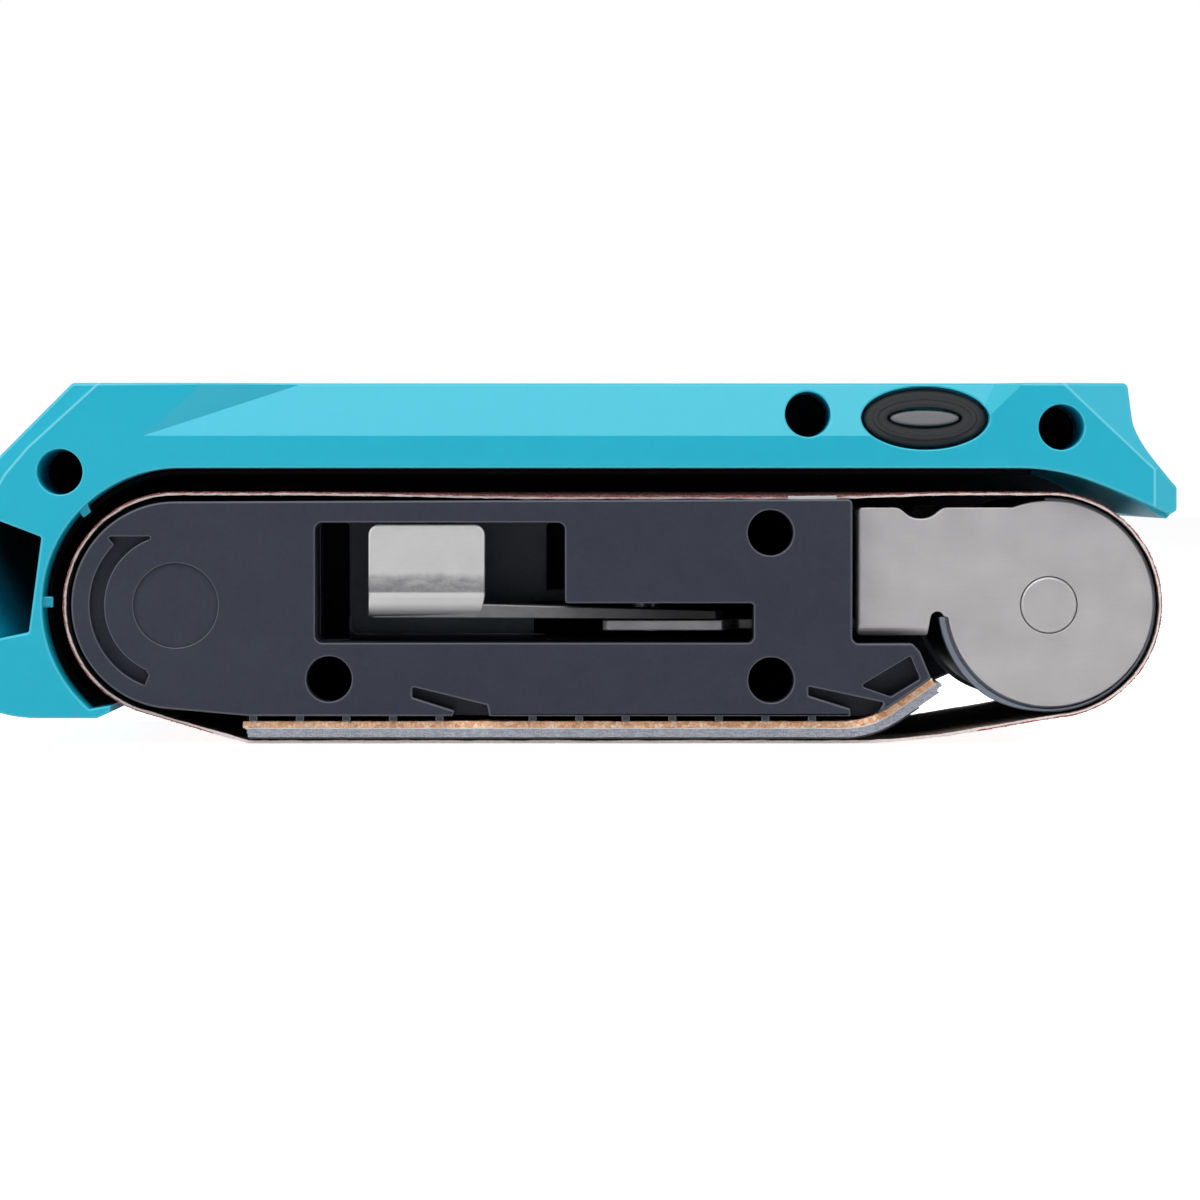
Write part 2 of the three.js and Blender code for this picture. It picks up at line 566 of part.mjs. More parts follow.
const makeHousing = () => {
  const past = 1;
  const mouth = 7; // depth of the cut-back at the open face
  const shoulder = (face, into) => {
    const triangle = polygon([face - into / 6, 57.2], [face - into / 6, DECK_Z + 1], [face + into, DECK_Z + 1]);
    const geometry = new THREE.ExtrudeGeometry(triangle, { depth: 182, bevelEnabled: false });
    const along = new THREE.Matrix4().makeBasis(
      new THREE.Vector3(0, 1, 0),
      new THREE.Vector3(0, 0, 1),
      new THREE.Vector3(1, 0, 0),
    );
    return solid(geometry.applyMatrix4(along).translate(-76, 0, 0));
  };
  const duct = rodX(11, REAR_X - 1, -94, NOZZLE_Y, NOZZLE_Z, 28);
  const deckOpening = box(-44, 24, -24, 28, 60, DECK_Z + past);
  const bossHoles = [[-66, -30], [34, -30], [-66, 33], [34, 33]].map(([x, y]) => rodZ(1.7, 57, DECK_Z + past, x, y, 8));
  const rearHollow = (y0, y1) => box(-84, -60, y0, y1, 54.3, DECK_Z - WALL);
  const midHollow = (y0, y1) => box(-50, 27, y0, y1, 54.3, DECK_Z - WALL);
  const frontHollow = (y0, y1) => box(55, 85, y0, y1, 54.3, DECK_Z - WALL);

  let near = join(
    plate(housingOutline(false), HOUSING_NEAR, HOUSING_NEAR + mouth, 7),
    plate(housingOutline(true), HOUSING_NEAR + mouth - 0.5, PARTING_PLANE, 7),
    plate(polygon([-92.6, 43.4], [-90.2, 41.4], [-88.4, 42.9], [-90.6, 45]), HOUSING_NEAR + 0.6, HOUSING_NEAR + 2),
    plate(polygon([-98, 27], [-98, 25.4], [-95.6, 25.4], [-95.6, 27]), HOUSING_NEAR + 0.6, HOUSING_NEAR + 2),
  );
  near = cut(
    near,
    plate(pocketOutline(), HOUSING_NEAR - past, -6, 1),
    shoulder(HOUSING_NEAR, 6),
    duct,
    deckOpening,
    plate(ovalPath(11.9, 5.9), HOUSING_NEAR - past, HOUSING_NEAR + 7, 8),
    rearHollow(-26, PARTING_PLANE + past),
    midHollow(-35, PARTING_PLANE + past),
    frontHollow(-30, PARTING_PLANE + past),
    ...bossHoles.slice(0, 2),
  );
  for (const [x, z] of HOUSING_SCREWS) {
    near = cut(
      near,
      rodY(SCREW_ACCESS_RADIUS, HOUSING_NEAR - past, -22, x, z, 16),
      rodY(2.2, -23, PARTING_PLANE + past, x, z, 8),
    );
  }
  add("housing_near", near, TEAL);

  let far = plate(housingOutline(true), PARTING_PLANE, HOUSING_FAR, 7);
  far = cut(
    far,
    duct,
    deckOpening,
    rearHollow(PARTING_PLANE - past, 29),
    midHollow(PARTING_PLANE - past, 37),
    frontHollow(PARTING_PLANE - past, 37),
    ...bossHoles.slice(2),
  );
  for (const [x, z] of HOUSING_SCREWS) far = cut(far, rodY(2.2, PARTING_PLANE - past, 20, x, z, 8));
  for (const [x, z] of SIDE_SCREWS) far = cut(far, rodY(1.9, 30, HOUSING_FAR + past, x, z, 8));
  add("housing_far", far, TEAL);

  add("bumper_ring", cut(
    plate(ovalPath(11.4, 5.4), HOUSING_NEAR + 0.6, HOUSING_NEAR + 6.9, 8),
    plate(ovalPath(8.4, 2.9), HOUSING_NEAR - past, HOUSING_NEAR + 8, 8),
  ), RUBBER);
  add("bumper_insert", plate(ovalPath(8, 2.5), HOUSING_NEAR + 1.4, HOUSING_NEAR + 6.9, 8), GREY);
};

// Thin wear strip that lines the tunnel between the housing and the belt, open at the dust duct.
const makeLiner = () => {
  const degrees = THREE.MathUtils.degToRad;
  const centreX = DRUM_X + 0.9;
  const outer = TUNNEL_RADIUS - 0.3;
  const inner = outer - 0.9;
  const shape = new THREE.Shape();
  shape.absarc(centreX, AXLE_Z, outer, degrees(226), degrees(90), true);
  shape.lineTo(IDLER_X - 3, AXLE_Z + outer);
  shape.lineTo(IDLER_X - 3, AXLE_Z + inner);
  shape.absarc(centreX, AXLE_Z, inner, degrees(90), degrees(226), false);
  const strip = plate(shape, HOUSING_NEAR + 2.4, HOUSING_FAR - 0.4, 12);
  add("tunnel_liner", cut(strip, rodX(10.6, REAR_X, -90, NOZZLE_Y, NOZZLE_Z)), BLACK);
};

// ---------------------------------------------------------------- far side
const SIDE_SCREWS = [[-20, 56.5], [36, 56.5]];
const COVER_SCREWS = [[-99, 49], [-46, 49], [-99, 14.5], [-46, 24]];
const COVER_FAR = 66.5;

const makeFarSide = () => {
  const plateOutline = new THREE.Shape();
  const quarter = Math.PI / 2;
  plateOutline.absarc(-96, 16, 9, 2 * quarter, 3 * quarter, false);
  plateOutline.lineTo(71, 7);
  plateOutline.lineTo(80, 11);
  plateOutline.absarc(83, 37.5, 3, 2 * quarter, quarter, true);
  plateOutline.lineTo(104, 40.5);
  plateOutline.absarc(101, 57, 3, 0, quarter, false);
  plateOutline.absarc(-98, 53, 7, quarter, 2 * quarter, false);
  let side = join(
    plate(plateOutline, SIDE_NEAR, SIDE_FAR, 6),
    rodY(12.5, SIDE_FAR - 0.5, 50, DRUM_X, AXLE_Z),
  );
  side = cut(
    side,
    rodY(9.5, 42.3, 51, DRUM_X, AXLE_Z),
    rodY(6.6, SIDE_NEAR - 1, 43, DRUM_X, AXLE_Z),
  );
  for (const [x, z] of FRAME_SCREWS) side = cut(side, rodY(2.4, SIDE_NEAR - 1, SIDE_FAR + 1, x, z, 8));
  for (const [x, z] of SIDE_SCREWS) side = cut(side, rodY(2.2, SIDE_NEAR - 1, SIDE_FAR + 1, x, z, 8));
  for (const [x, z] of COVER_SCREWS) side = cut(side, rodY(1.9, SIDE_NEAR - 1, SIDE_FAR + 1, x, z, 8));
  add("side_plate", side, DARK);

  const skin = 2.4;
  const left = -104;
  const right = -41;
  const outside = roundedBox(left, right, 9, 58.5, 8);
  const inside = roundedBox(DRUM_X - 19, DRUM_X + 19, 9 + skin, 58.5 - skin, 7);
  const ribs = [14, 22, 30, 38, 46].map((z) => box(DRUM_X - 16, DRUM_X + 16, COVER_FAR - 0.1, COVER_FAR + 1.2, z, z + 2.6));
  let cover = join(
    plate(outside, SIDE_FAR + 0.2, SIDE_FAR + 3.4, 6),
    plate(roundedBox(DRUM_X - 21.4, DRUM_X + 21.4, 9, 58.5, 8), SIDE_FAR + 3, COVER_FAR, 6),
    ...ribs,
  );
  cover = cut(cover, plate(inside, SIDE_FAR - 1, COVER_FAR - skin, 6), box(DRUM_X - 15, DRUM_X + 15, 50.5, 61, 50, 60));
  for (const [x, z] of COVER_SCREWS) cover = cut(cover, rodY(2.2, SIDE_FAR - 1, SIDE_FAR + 5, x, z, 8));
  add("drive_cover", cover, DARK);
};

const makeNozzle = () => {
  const tube = cut(
    join(rodX(13.2, REAR_X - 16, REAR_X - 0.1, NOZZLE_Y, NOZZLE_Z, 32), rodX(15.5, REAR_X - 3, REAR_X - 0.1, NOZZLE_Y, NOZZLE_Z, 32)),
    rodX(11, REAR_X - 17, REAR_X + 1, NOZZLE_Y, NOZZLE_Z, 32),
  );
  add("dust_nozzle", tube, DARK);
};

// ---------------------------------------------------------------- screws
// A pan-head screw along Y: its head's outer face is at yHead, and it points into the material.
const screw = (name, x, z, yHead, into, length, headRadius, shankRadius) => {
  const head = 2.4;
  const low = into > 0 ? yHead : yHead - head;
  const shankStart = into > 0 ? yHead + head - 0.2 : yHead - length;
  const shankEnd = into > 0 ? yHead + length : yHead - head + 0.2;
  const drive = rodY(1.2, into > 0 ? yHead - 1 : yHead - 1.3, into > 0 ? yHead + 1.3 : yHead + 1, x, z, 6);
  const body = join(
    rodY(headRadius, low, low + head, x, z, 12),
    rodY(shankRadius, shankStart, shankEnd, x, z, 8),
  );
  add(name, cut(body, drive), ZINC);
};

const makeScrews = () => {
  FRAME_SCREWS.forEach(([x, z], i) => screw(`frame_screw_${i + 1}`, x, z, 19, 1, 25, 3.9, 2));
  HOUSING_SCREWS.forEach(([x, z], i) => screw(`housing_screw_${i + 1}`, x, z, -24.6, 1, 40, 3.7, 1.8));
  SIDE_SCREWS.forEach(([x, z], i) => screw(`side_screw_${i + 1}`, x, z, SIDE_FAR + 2.5, -1, 15, 3.5, 1.6));
  COVER_SCREWS.forEach(([x, z], i) => screw(`cover_screw_${i + 1}`, x, z, SIDE_FAR + 5.9, -1, 9, 3.5, 1.6));
};

makeBelt();
makeShoe();
makeFrame();
makeDrum();
makePulley();
makeBracket();
makeIdler();
makeTensioner();
makeHousing();
makeLiner();
makeFarSide();
makeNozzle();
makeScrews();

export default unit;
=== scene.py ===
import json
import math
import random

import bmesh
import bpy
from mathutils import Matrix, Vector
from mathutils.geometry import tessellate_polygon


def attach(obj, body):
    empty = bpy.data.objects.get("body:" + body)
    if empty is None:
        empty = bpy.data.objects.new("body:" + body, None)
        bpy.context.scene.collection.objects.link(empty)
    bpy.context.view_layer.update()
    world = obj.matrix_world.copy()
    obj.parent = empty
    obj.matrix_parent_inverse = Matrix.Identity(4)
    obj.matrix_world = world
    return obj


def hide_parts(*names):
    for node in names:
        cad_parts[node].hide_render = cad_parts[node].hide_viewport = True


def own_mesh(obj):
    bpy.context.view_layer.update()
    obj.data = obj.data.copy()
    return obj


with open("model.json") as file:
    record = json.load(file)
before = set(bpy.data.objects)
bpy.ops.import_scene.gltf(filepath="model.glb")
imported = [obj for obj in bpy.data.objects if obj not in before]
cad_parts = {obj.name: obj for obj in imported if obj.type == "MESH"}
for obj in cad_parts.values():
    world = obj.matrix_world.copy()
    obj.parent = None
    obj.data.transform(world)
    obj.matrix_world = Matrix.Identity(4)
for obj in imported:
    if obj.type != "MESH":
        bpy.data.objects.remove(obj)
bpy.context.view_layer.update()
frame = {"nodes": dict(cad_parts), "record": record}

# Sizes are in millimetres until a mesh is made. X runs along the belt, Z is up, and the open side faces -Y.
MM = 0.001
AXLE_Z = 25.8
DRUM = (-72.5, AXLE_Z)
IDLER = (90.2, AXLE_Z)
ROLLER_RADIUS = 20.0
FRAME_NEAR, FRAME_PLATE, FRAME_FAR = -40.0, -35.0, 41.0
HOUSING_NEAR, MOUTH, PARTING, HOUSING_FAR = -41.0, -34.0, 2.0, 41.0
DECK = 67.1
TUNNEL_RADIUS = 25.5
SIDE_NEAR, SIDE_FAR = 41.1, 45.1
BELT_HALF = 38.0
RNG = random.Random(7)

# ---------------------------------------------------------------- materials


class Value:
    """A number that varies over a surface. Arithmetic on it adds Math nodes."""

    def __init__(self, paint, socket):
        self.paint = paint
        self.socket = socket

    def __add__(self, other):
        return self.paint.math("ADD", self, other)

    def __radd__(self, other):
        return self.paint.math("ADD", other, self)

    def __sub__(self, other):
        return self.paint.math("SUBTRACT", self, other)

    def __rsub__(self, other):
        return self.paint.math("SUBTRACT", other, self)

    def __mul__(self, other):
        return self.paint.math("MULTIPLY", self, other)

    def __rmul__(self, other):
        return self.paint.math("MULTIPLY", other, self)

    def __pow__(self, other):
        return self.paint.math("POWER", self, other)


class Paint:
    """One procedural finish: a node tree round a Principled shader."""

    def __init__(self, name):
        self.material = bpy.data.materials.new(name)
        self.material.use_nodes = True
        self.tree = self.material.node_tree
        self.tree.nodes.clear()
        self.where = self.node("ShaderNodeTexCoord").outputs["Object"]

    def node(self, kind, settings=None, **sockets):
        made = self.tree.nodes.new(kind)
        for key, value in (settings or {}).items():
            setattr(made, key, value)
        for key, value in sockets.items():
            self.feed(made.inputs[key.replace("_", " ")], value)
        return made

    def feed(self, socket, value):
        if isinstance(value, Value):
            value = value.socket
        if isinstance(value, bpy.types.NodeSocket):
            self.tree.links.new(value, socket)
        else:
            socket.default_value = value

    def math(self, operation, a, b):
        made = self.node("ShaderNodeMath", {"operation": operation})
        self.feed(made.inputs[0], a)
        self.feed(made.inputs[1], b)
        return Value(self, made.outputs[0])

    def stretched(self, scale, turn=(0, 0, 0)):
        """Object coordinates scaled by a vector, for grain that runs one way."""
        made = self.node("ShaderNodeMapping")
        self.feed(made.inputs["Vector"], self.where)
        made.inputs["Scale"].default_value = scale
        made.inputs["Rotation"].default_value = turn
        return made.outputs[0]

    def noise(self, size, detail=2.0, rough=0.5, where=None):
        """Noise from 0 to 1 whose features are about size millimetres wide."""
        made = self.node("ShaderNodeTexNoise", Scale=1 / (size * MM), Detail=detail, Roughness=rough)
        self.feed(made.inputs["Vector"], where or self.where)
        return Value(self, made.outputs["Fac"])

    def cells(self, size, feature="F1", where=None, output="Distance"):
        made = self.node("ShaderNodeTexVoronoi", {"feature": feature}, Scale=1 / (size * MM))
        self.feed(made.inputs["Vector"], where or self.where)
        return Value(self, made.outputs[output])

    def ramp(self, value, stops):
        """Maps a number to a colour. stops are (place, colour)."""
        made = self.node("ShaderNodeValToRGB")
        ends = made.color_ramp.elements
        while len(ends) < len(stops):
            ends.new(0.5)
        for end, (place, colour) in zip(ends, stops):
            end.position = place
            end.color = colour if len(colour) == 4 else (*colour, 1)
        self.feed(made.inputs["Fac"], value)
        return made.outputs["Color"]

    def level(self, value, low, high, to_low=0.0, to_high=1.0):
        made = self.node("ShaderNodeMapRange", {"interpolation_type": "SMOOTHSTEP"})
        self.feed(made.inputs["Value"], value)
        for key, number in (("From Min", low), ("From Max", high), ("To Min", to_low), ("To Max", to_high)):
            made.inputs[key].default_value = number
        return Value(self, made.outputs["Result"])

    def mix(self, amount, first, second, blend="MIX"):
        made = self.node("ShaderNodeMix", {"data_type": "RGBA", "blend_type": blend})
        self.feed(made.inputs["Factor"], amount)
        for socket, colour in ((made.inputs[6], first), (made.inputs[7], second)):
            self.feed(socket, colour if isinstance(colour, bpy.types.NodeSocket) else (*colour, 1))
        return made.outputs[2]

    def bump(self, height, depth, strength=1.0, under=None):
        """A bumped normal; depth is the height of the relief in millimetres."""
        made = self.node("ShaderNodeBump", Strength=strength, Distance=depth * MM)
        self.feed(made.inputs["Height"], height)
        if under is not None:
            self.feed(made.inputs["Normal"], under)
        return made.outputs["Normal"]

    def axis(self, name):
        split = self.node("ShaderNodeSeparateXYZ")
        self.feed(split.inputs[0], self.where)
        return Value(self, split.outputs[name])

    def rims(self):
        """1 on the rounded edges round a face that looks along Y, 0 on face and walls: painted highlights."""
        split = self.node("ShaderNodeSeparateXYZ")
        self.feed(split.inputs[0], self.node("ShaderNodeTexCoord").outputs["Normal"])
        across = Value(self, split.outputs["Y"])
        facing = self.math("ABSOLUTE", across, 0.0)
        return self.level(facing, 0.12, 0.45) * (1 - self.level(facing, 0.90, 0.975))

    def done(self, colour, roughness, normal=None, metallic=0.0, **constants):
        shader = self.node("ShaderNodeBsdfPrincipled", Roughness=roughness, Metallic=metallic)
        if isinstance(colour, tuple):
            colour = (*colour, 1)
        self.feed(shader.inputs["Base Color"], colour)
        if normal is not None:
            self.feed(shader.inputs["Normal"], normal)
        for key, value in constants.items():
            shader.inputs[key.replace("_", " ")].default_value = value
        self.node("ShaderNodeOutputMaterial", Surface=shader.outputs[0])
        return self.material


def moulded(name, dark, light, grain=0.35, relief=0.02, rough=0.42, gloss=0.5, rim_highlight=None):
    """Moulded plastic: fine spark-eroded grain with faint flow marks and small scuffs; a rim colour, if given,
    paints highlights on the rounded edges.
    """
    p = Paint(name)
    speck = p.noise(grain, 3, 0.6)
    flow = p.noise(24, 2, 0.5, p.stretched((0.5, 1, 1.6)))
    scuff = p.level(p.noise(1.6, 4, 0.75, p.stretched((0.35, 1, 1))), 0.66, 0.78)
    cloud = p.noise(5, 4, 0.65)
    tone = p.mix(flow * 0.3 + cloud * 0.35 + speck * 0.35, dark, light)
    tone = p.mix(scuff * 0.22, tone, light)
    # Painted highlight: the rounded edges take the paler rim colour, standing in for light caught on them.
    if rim_highlight:
        tone = p.mix(p.rims() * 0.8, tone, rim_highlight)
    bump = p.bump(speck + p.noise(grain * 3, 2) * 0.5, relief)
    return p.done(tone, rough - 0.08 + speck * 0.12 + flow * 0.08, bump, Specular_IOR_Level=gloss)


def rolled_steel(name, dark, light, rough=0.36, along=(1, 8, 8)):
    """Rolled sheet: fine lines along the sheet, cloudy tone, and a few short scratches."""
    p = Paint(name)
    lines = p.noise(1.1, 4, 0.7, p.stretched((along[0] * 0.12, along[1] * 0.4, along[2] * 0.7)))
    cloud = p.noise(9, 3, 0.55)
    speck = p.noise(0.45, 2, 0.6)
    slanted = p.stretched((0.10, 1.2, 1.6), (0, 0.6, 0))
    scratch = p.level(p.noise(1.2, 3, 0.8, slanted), 0.70, 0.76)
    tone = p.mix(cloud * 0.6 + lines * 0.25 + speck * 0.15, dark, light)
    tone = p.mix(scratch * 0.35, tone, (0.75, 0.74, 0.72))
    bump = p.bump(lines * 0.6 + speck * 0.5 - scratch * 0.8, 0.006)
    return p.done(tone, rough + cloud * 0.14 - scratch * 0.08 + speck * 0.06, bump, metallic=1.0)


def recess_teal():
    """Teal plastic with the shade of a deep pocket painted in: it darkens by depth, in any light."""
    p = Paint("teal_recess")
    speck = p.noise(0.5, 3, 0.6)
    depth = p.level(p.axis("Y") + p.noise(6, 2) * 0.003, -0.0350, -0.0130)
    tone = p.mix(depth, p.mix(speck, (0.002, 0.28, 0.40), (0.005, 0.34, 0.47)), (0.0008, 0.001, 0.002))
    return p.done(tone, 0.5 + depth * 0.2, p.bump(speck, 0.02), Specular_IOR_Level=0.15)


def tab_steel():
    """Pale satin sheet: a darker, blotchy band where it is cranked, and a bend below painted dark as in shade."""
    p = Paint("tab_steel")
    z = p.axis("Z")
    lines = p.noise(1.1, 4, 0.7, p.stretched((0.3, 1, 3)))
    cloud = p.noise(5, 3, 0.6)
    fleck = p.noise(0.5, 3, 0.7)
    tone = p.mix(cloud * 0.5 + lines * 0.25 + fleck * 0.25, (0.58, 0.57, 0.575), (0.80, 0.79, 0.795))
    drift = p.noise(6, 3, 0.6) * 0.0026
    # A darker, blotchy band across the tab where it is cranked.
    band = p.level(z, 0.0279, 0.0284) * (1 - p.level(z - drift, 0.0290, 0.0308))
    blotch = p.level(p.noise(2.2, 4, 0.7, p.stretched((0.4, 1, 1))), 0.3, 0.7)
    crank_band = band * (blotch * 0.45 + fleck * 0.25 + 0.4)
    tone = p.mix(crank_band * 0.85, tone, (0.20, 0.195, 0.205))
    tone = p.mix((1 - p.level(z, 0.0242, 0.0264)) * 0.82, tone, (0.09, 0.09, 0.095))
    bump = p.bump(lines * 0.5 + fleck * 0.6, 0.008)
    return p.done(tone, 0.5 + cloud * 0.1 + crank_band * 0.1, bump, metallic=1.0)


def shaded_steel(name, start, finish, x0, x1):
    """Dull sheet with the shade under the deck painted in: it darkens along X, in any light."""
    p = Paint(name)
    lines = p.noise(1.1, 4, 0.7, p.stretched((0.15, 2, 2)))
    cloud = p.noise(4, 4, 0.65)
    tone = p.mix(p.level(p.axis("X"), x0 * MM, x1 * MM), start, finish)
    tone = p.mix(cloud * 0.35 + lines * 0.25, tone, (0.02, 0.02, 0.022))
    bump = p.bump(lines * 0.6 + cloud * 0.4, 0.01)
    return p.done(tone, 0.45 + cloud * 0.15, bump, metallic=1.0)


def turned_metal(name, dark, light, rough=0.3):
    """Turned metal with fine rings along Y and faint stains."""
    p = Paint(name)
    rings = p.noise(0.5, 3, 0.7, p.stretched((0.02, 1.6, 0.02)))
    stain = p.noise(6, 3, 0.6)
    tone = p.mix(stain * 0.6 + rings * 0.4, dark, light)
    return p.done(tone, rough + stain * 0.15 + rings * 0.08, p.bump(rings, 0.008), metallic=1.0)


def rubbery(name, dark, light, rough=0.7):
    p = Paint(name)
    speck = p.noise(0.3, 3, 0.7)
    wear = p.noise(7, 3, 0.6)
    tone = p.mix(wear * 0.6 + speck * 0.4, dark, light)
    return p.done(tone, rough - 0.1 + wear * 0.2, p.bump(speck, 0.03), Specular_IOR_Level=0.35)


def cork():
    """Pressed cork granules with darker bark flecks and dusty cut faces."""
    p = Paint("cork_granules")
    shade = p.cells(0.75, output="Color")
    tint = p.node("ShaderNodeSeparateColor")
    p.feed(tint.inputs[0], shade.socket)
    grain = Value(p, tint.outputs[0])
    edge = p.level(p.cells(0.75, "DISTANCE_TO_EDGE"), 0.0, 0.12)
    fine = p.noise(0.22, 3, 0.7)
    tone = p.ramp(grain * 0.6 + fine * 0.4, [
        (0.15, (0.58, 0.27, 0.14)),
        (0.38, (0.90, 0.48, 0.28)),
        (0.58, (0.97, 0.58, 0.37)),
        (0.85, (0.99, 0.76, 0.58)),
    ])
    tone = p.mix((1 - edge) * 0.3, tone, (0.38, 0.20, 0.11))
    return p.done(tone, 0.85 + fine * 0.1, p.bump(edge + fine * 0.8, 0.09), Specular_IOR_Level=0.2)


def felt():
    """Pressed felt: matted light and dark fibres."""
    p = Paint("pressed_felt")
    along = p.noise(0.5, 4, 0.75, p.stretched((0.5, 1, 1.7)))
    knots = p.noise(0.3, 3, 0.7)
    pale = p.level(p.noise(0.24, 3, 0.8), 0.56, 0.72)
    tone = p.ramp(along * 0.5 + knots * 0.5, [
        (0.28, (0.07, 0.078, 0.10)),
        (0.50, (0.32, 0.335, 0.395)),
        (0.72, (0.64, 0.66, 0.73)),
    ])
    tone = p.mix(pale * 0.5, tone, (0.66, 0.68, 0.73))
    return p.done(tone, 0.92, p.bump(along + knots, 0.12), Sheen_Weight=0.3, Specular_IOR_Level=0.15)


def belt_grit():
    """Red-brown abrasive grains bonded in resin."""
    p = Paint("belt_grit")
    grains = p.cells(0.34)
    tint = p.noise(0.5, 3, 0.7)
    sparkle = p.level(p.noise(0.2, 2, 0.6), 0.66, 0.8)
    tone = p.ramp(tint, [(0.3, (0.16, 0.038, 0.032)), (0.52, (0.36, 0.105, 0.092)), (0.75, (0.64, 0.31, 0.27))])
    tone = p.mix(sparkle * 0.4, tone, (0.62, 0.34, 0.28))
    return p.done(tone, 0.75 - sparkle * 0.35, p.bump(1 - grains, 0.22), Specular_IOR_Level=0.4)


def belt_cloth():
    """Inside of the belt: dark, resin-soaked cotton twill."""
    p = Paint("belt_cloth")
    weave = []
    for way in ((1, 0.02, 1), (0.02, 1, 0.02)):
        wave = p.node("ShaderNodeTexWave", {"wave_type": "BANDS", "bands_direction": "DIAGONAL"}, Scale=330.0)
        p.feed(wave.inputs["Vector"], p.stretched(way))
        weave.append(Value(p, wave.outputs["Fac"]))
    cloth = weave[0] * weave[1]
    dust = p.noise(5, 4, 0.6)
    tone = p.mix(cloth * 0.5 + dust * 0.5, (0.10, 0.078, 0.064), (0.27, 0.21, 0.175))
    return p.done(tone, 0.7 + dust * 0.15, p.bump(cloth, 0.08), Specular_IOR_Level=0.3)


def belt_edge():
    """Cut edge of the belt: pale cotton threads with rust-red specks of resin and grit."""
    p = Paint("belt_cut_edge")
    thread = p.noise(0.5, 3, 0.75)
    red = p.level(p.noise(0.35, 3, 0.7), 0.50, 0.66)
    dark = p.level(p.noise(0.8, 3, 0.6), 0.60, 0.75)
    tone = p.mix(thread, (0.60, 0.50, 0.48), (0.90, 0.82, 0.80))
    tone = p.mix(red * 0.25, tone, (0.45, 0.20, 0.18))
    tone = p.mix(dark * 0.3, tone, (0.30, 0.20, 0.17))
    return p.done(tone, 0.9, p.bump(thread, 0.12), Specular_IOR_Level=0.15)


# The last colour is a painted highlight for the rounded edges of the teal parts.
TEAL = moulded(
    "teal_nylon", (0.002, 0.355, 0.500), (0.005, 0.430, 0.585), 0.45, 0.016, 0.42, 0.5, (0.05, 0.52, 0.66))
RECESS = recess_teal()
# Paler teal for the narrow bead along the housing's chamfers: a painted highlight.
TEAL_HIGHLIGHT = moulded("teal_arris", (0.10, 0.52, 0.64), (0.16, 0.60, 0.72), 0.45, 0.01, 0.36)
# The last colour is a painted highlight for the rounded edges of the charcoal parts.
CHARCOAL = moulded(
    "charcoal_plastic", (0.010, 0.012, 0.022), (0.041, 0.047, 0.072), 0.8, 0.06, 0.46, 0.35, (0.105, 0.112, 0.13))
LINER = moulded("black_liner", (0.001, 0.001, 0.0015), (0.003, 0.003, 0.0035), 0.5, 0.02, 0.7, 0.08)
GREY = moulded("grey_plastic", (0.10, 0.105, 0.115), (0.15, 0.155, 0.17), 0.4, 0.02, 0.45)
SHEET = rolled_steel("brushed_sheet", (0.42, 0.405, 0.415), (0.72, 0.695, 0.705), 0.46)
# Darker, blue-tinted copy of the bracket's sheet steel for the rolled rims: painted shade and painted reflection of
# dark blue surroundings.
RIM_REFLECTION = rolled_steel("rim_steel", (0.17, 0.20, 0.24), (0.30, 0.34, 0.40), 0.42)
SATIN = tab_steel()
ARM = shaded_steel("arm_steel", (0.30, 0.295, 0.31), (0.05, 0.05, 0.052), -14, 24)
LINK = shaded_steel("link_steel", (0.50, 0.495, 0.505), (0.30, 0.30, 0.31), 20, 50)
ZINC = turned_metal("zinc_plate", (0.42, 0.43, 0.44), (0.60, 0.61, 0.62), 0.28)
GROUND = turned_metal("ground_steel", (0.34, 0.34, 0.34), (0.52, 0.52, 0.52), 0.24)
# Aluminium painted dark: its low tone is painted shade, standing in for the shadow round the front roller.
TURNED_SHADED = turned_metal("turned_aluminium", (0.05, 0.054, 0.06), (0.13, 0.14, 0.155), 0.36)
BLACK_OXIDE = turned_metal("black_oxide", (0.003, 0.003, 0.0033), (0.009, 0.009, 0.01), 0.5)
RUBBER = rubbery("black_rubber", (0.010, 0.010, 0.012), (0.028, 0.029, 0.032))
CORK = cork()
FELT = felt()
GLIDE = rubbery("graphite_cloth", (0.018, 0.019, 0.022), (0.05, 0.052, 0.06), 0.55)
GRIT = belt_grit()
CLOTH = belt_cloth()
EDGE = belt_edge()
GLUE = rubbery("glue_film", (0.62, 0.56, 0.52), (0.80, 0.76, 0.72), 0.6)
TAPE = rubbery("splice_film", (0.72, 0.70, 0.69), (0.92, 0.90, 0.89), 0.5)

# ---------------------------------------------------------------- outlines


def arc(centre, radius, start, end, step=4.0):
    """Points on an arc about centre, from start to end degrees."""
    count = max(2, math.ceil(abs(end - start) / step))
    turn = [math.radians(start + (end - start) * i / count) for i in range(count + 1)]
    return [(centre[0] + radius * math.cos(a), centre[1] + radius * math.sin(a)) for a in turn]


def circle(centre, radius, count=48):
    return arc(centre, radius, 0, 360, 360 / count)[:-1]


def curve(a, b, c, d, count=12):
    """Points on the cubic curve from a to d, without a."""
    out = []
    for i in range(1, count + 1):
        t = i / count
        w = ((1 - t) ** 3, 3 * t * (1 - t) ** 2, 3 * t * t * (1 - t), t**3)
        out.append(tuple(w[0] * p + w[1] * q + w[2] * r + w[3] * s for p, q, r, s in zip(a, b, c, d)))
    return out


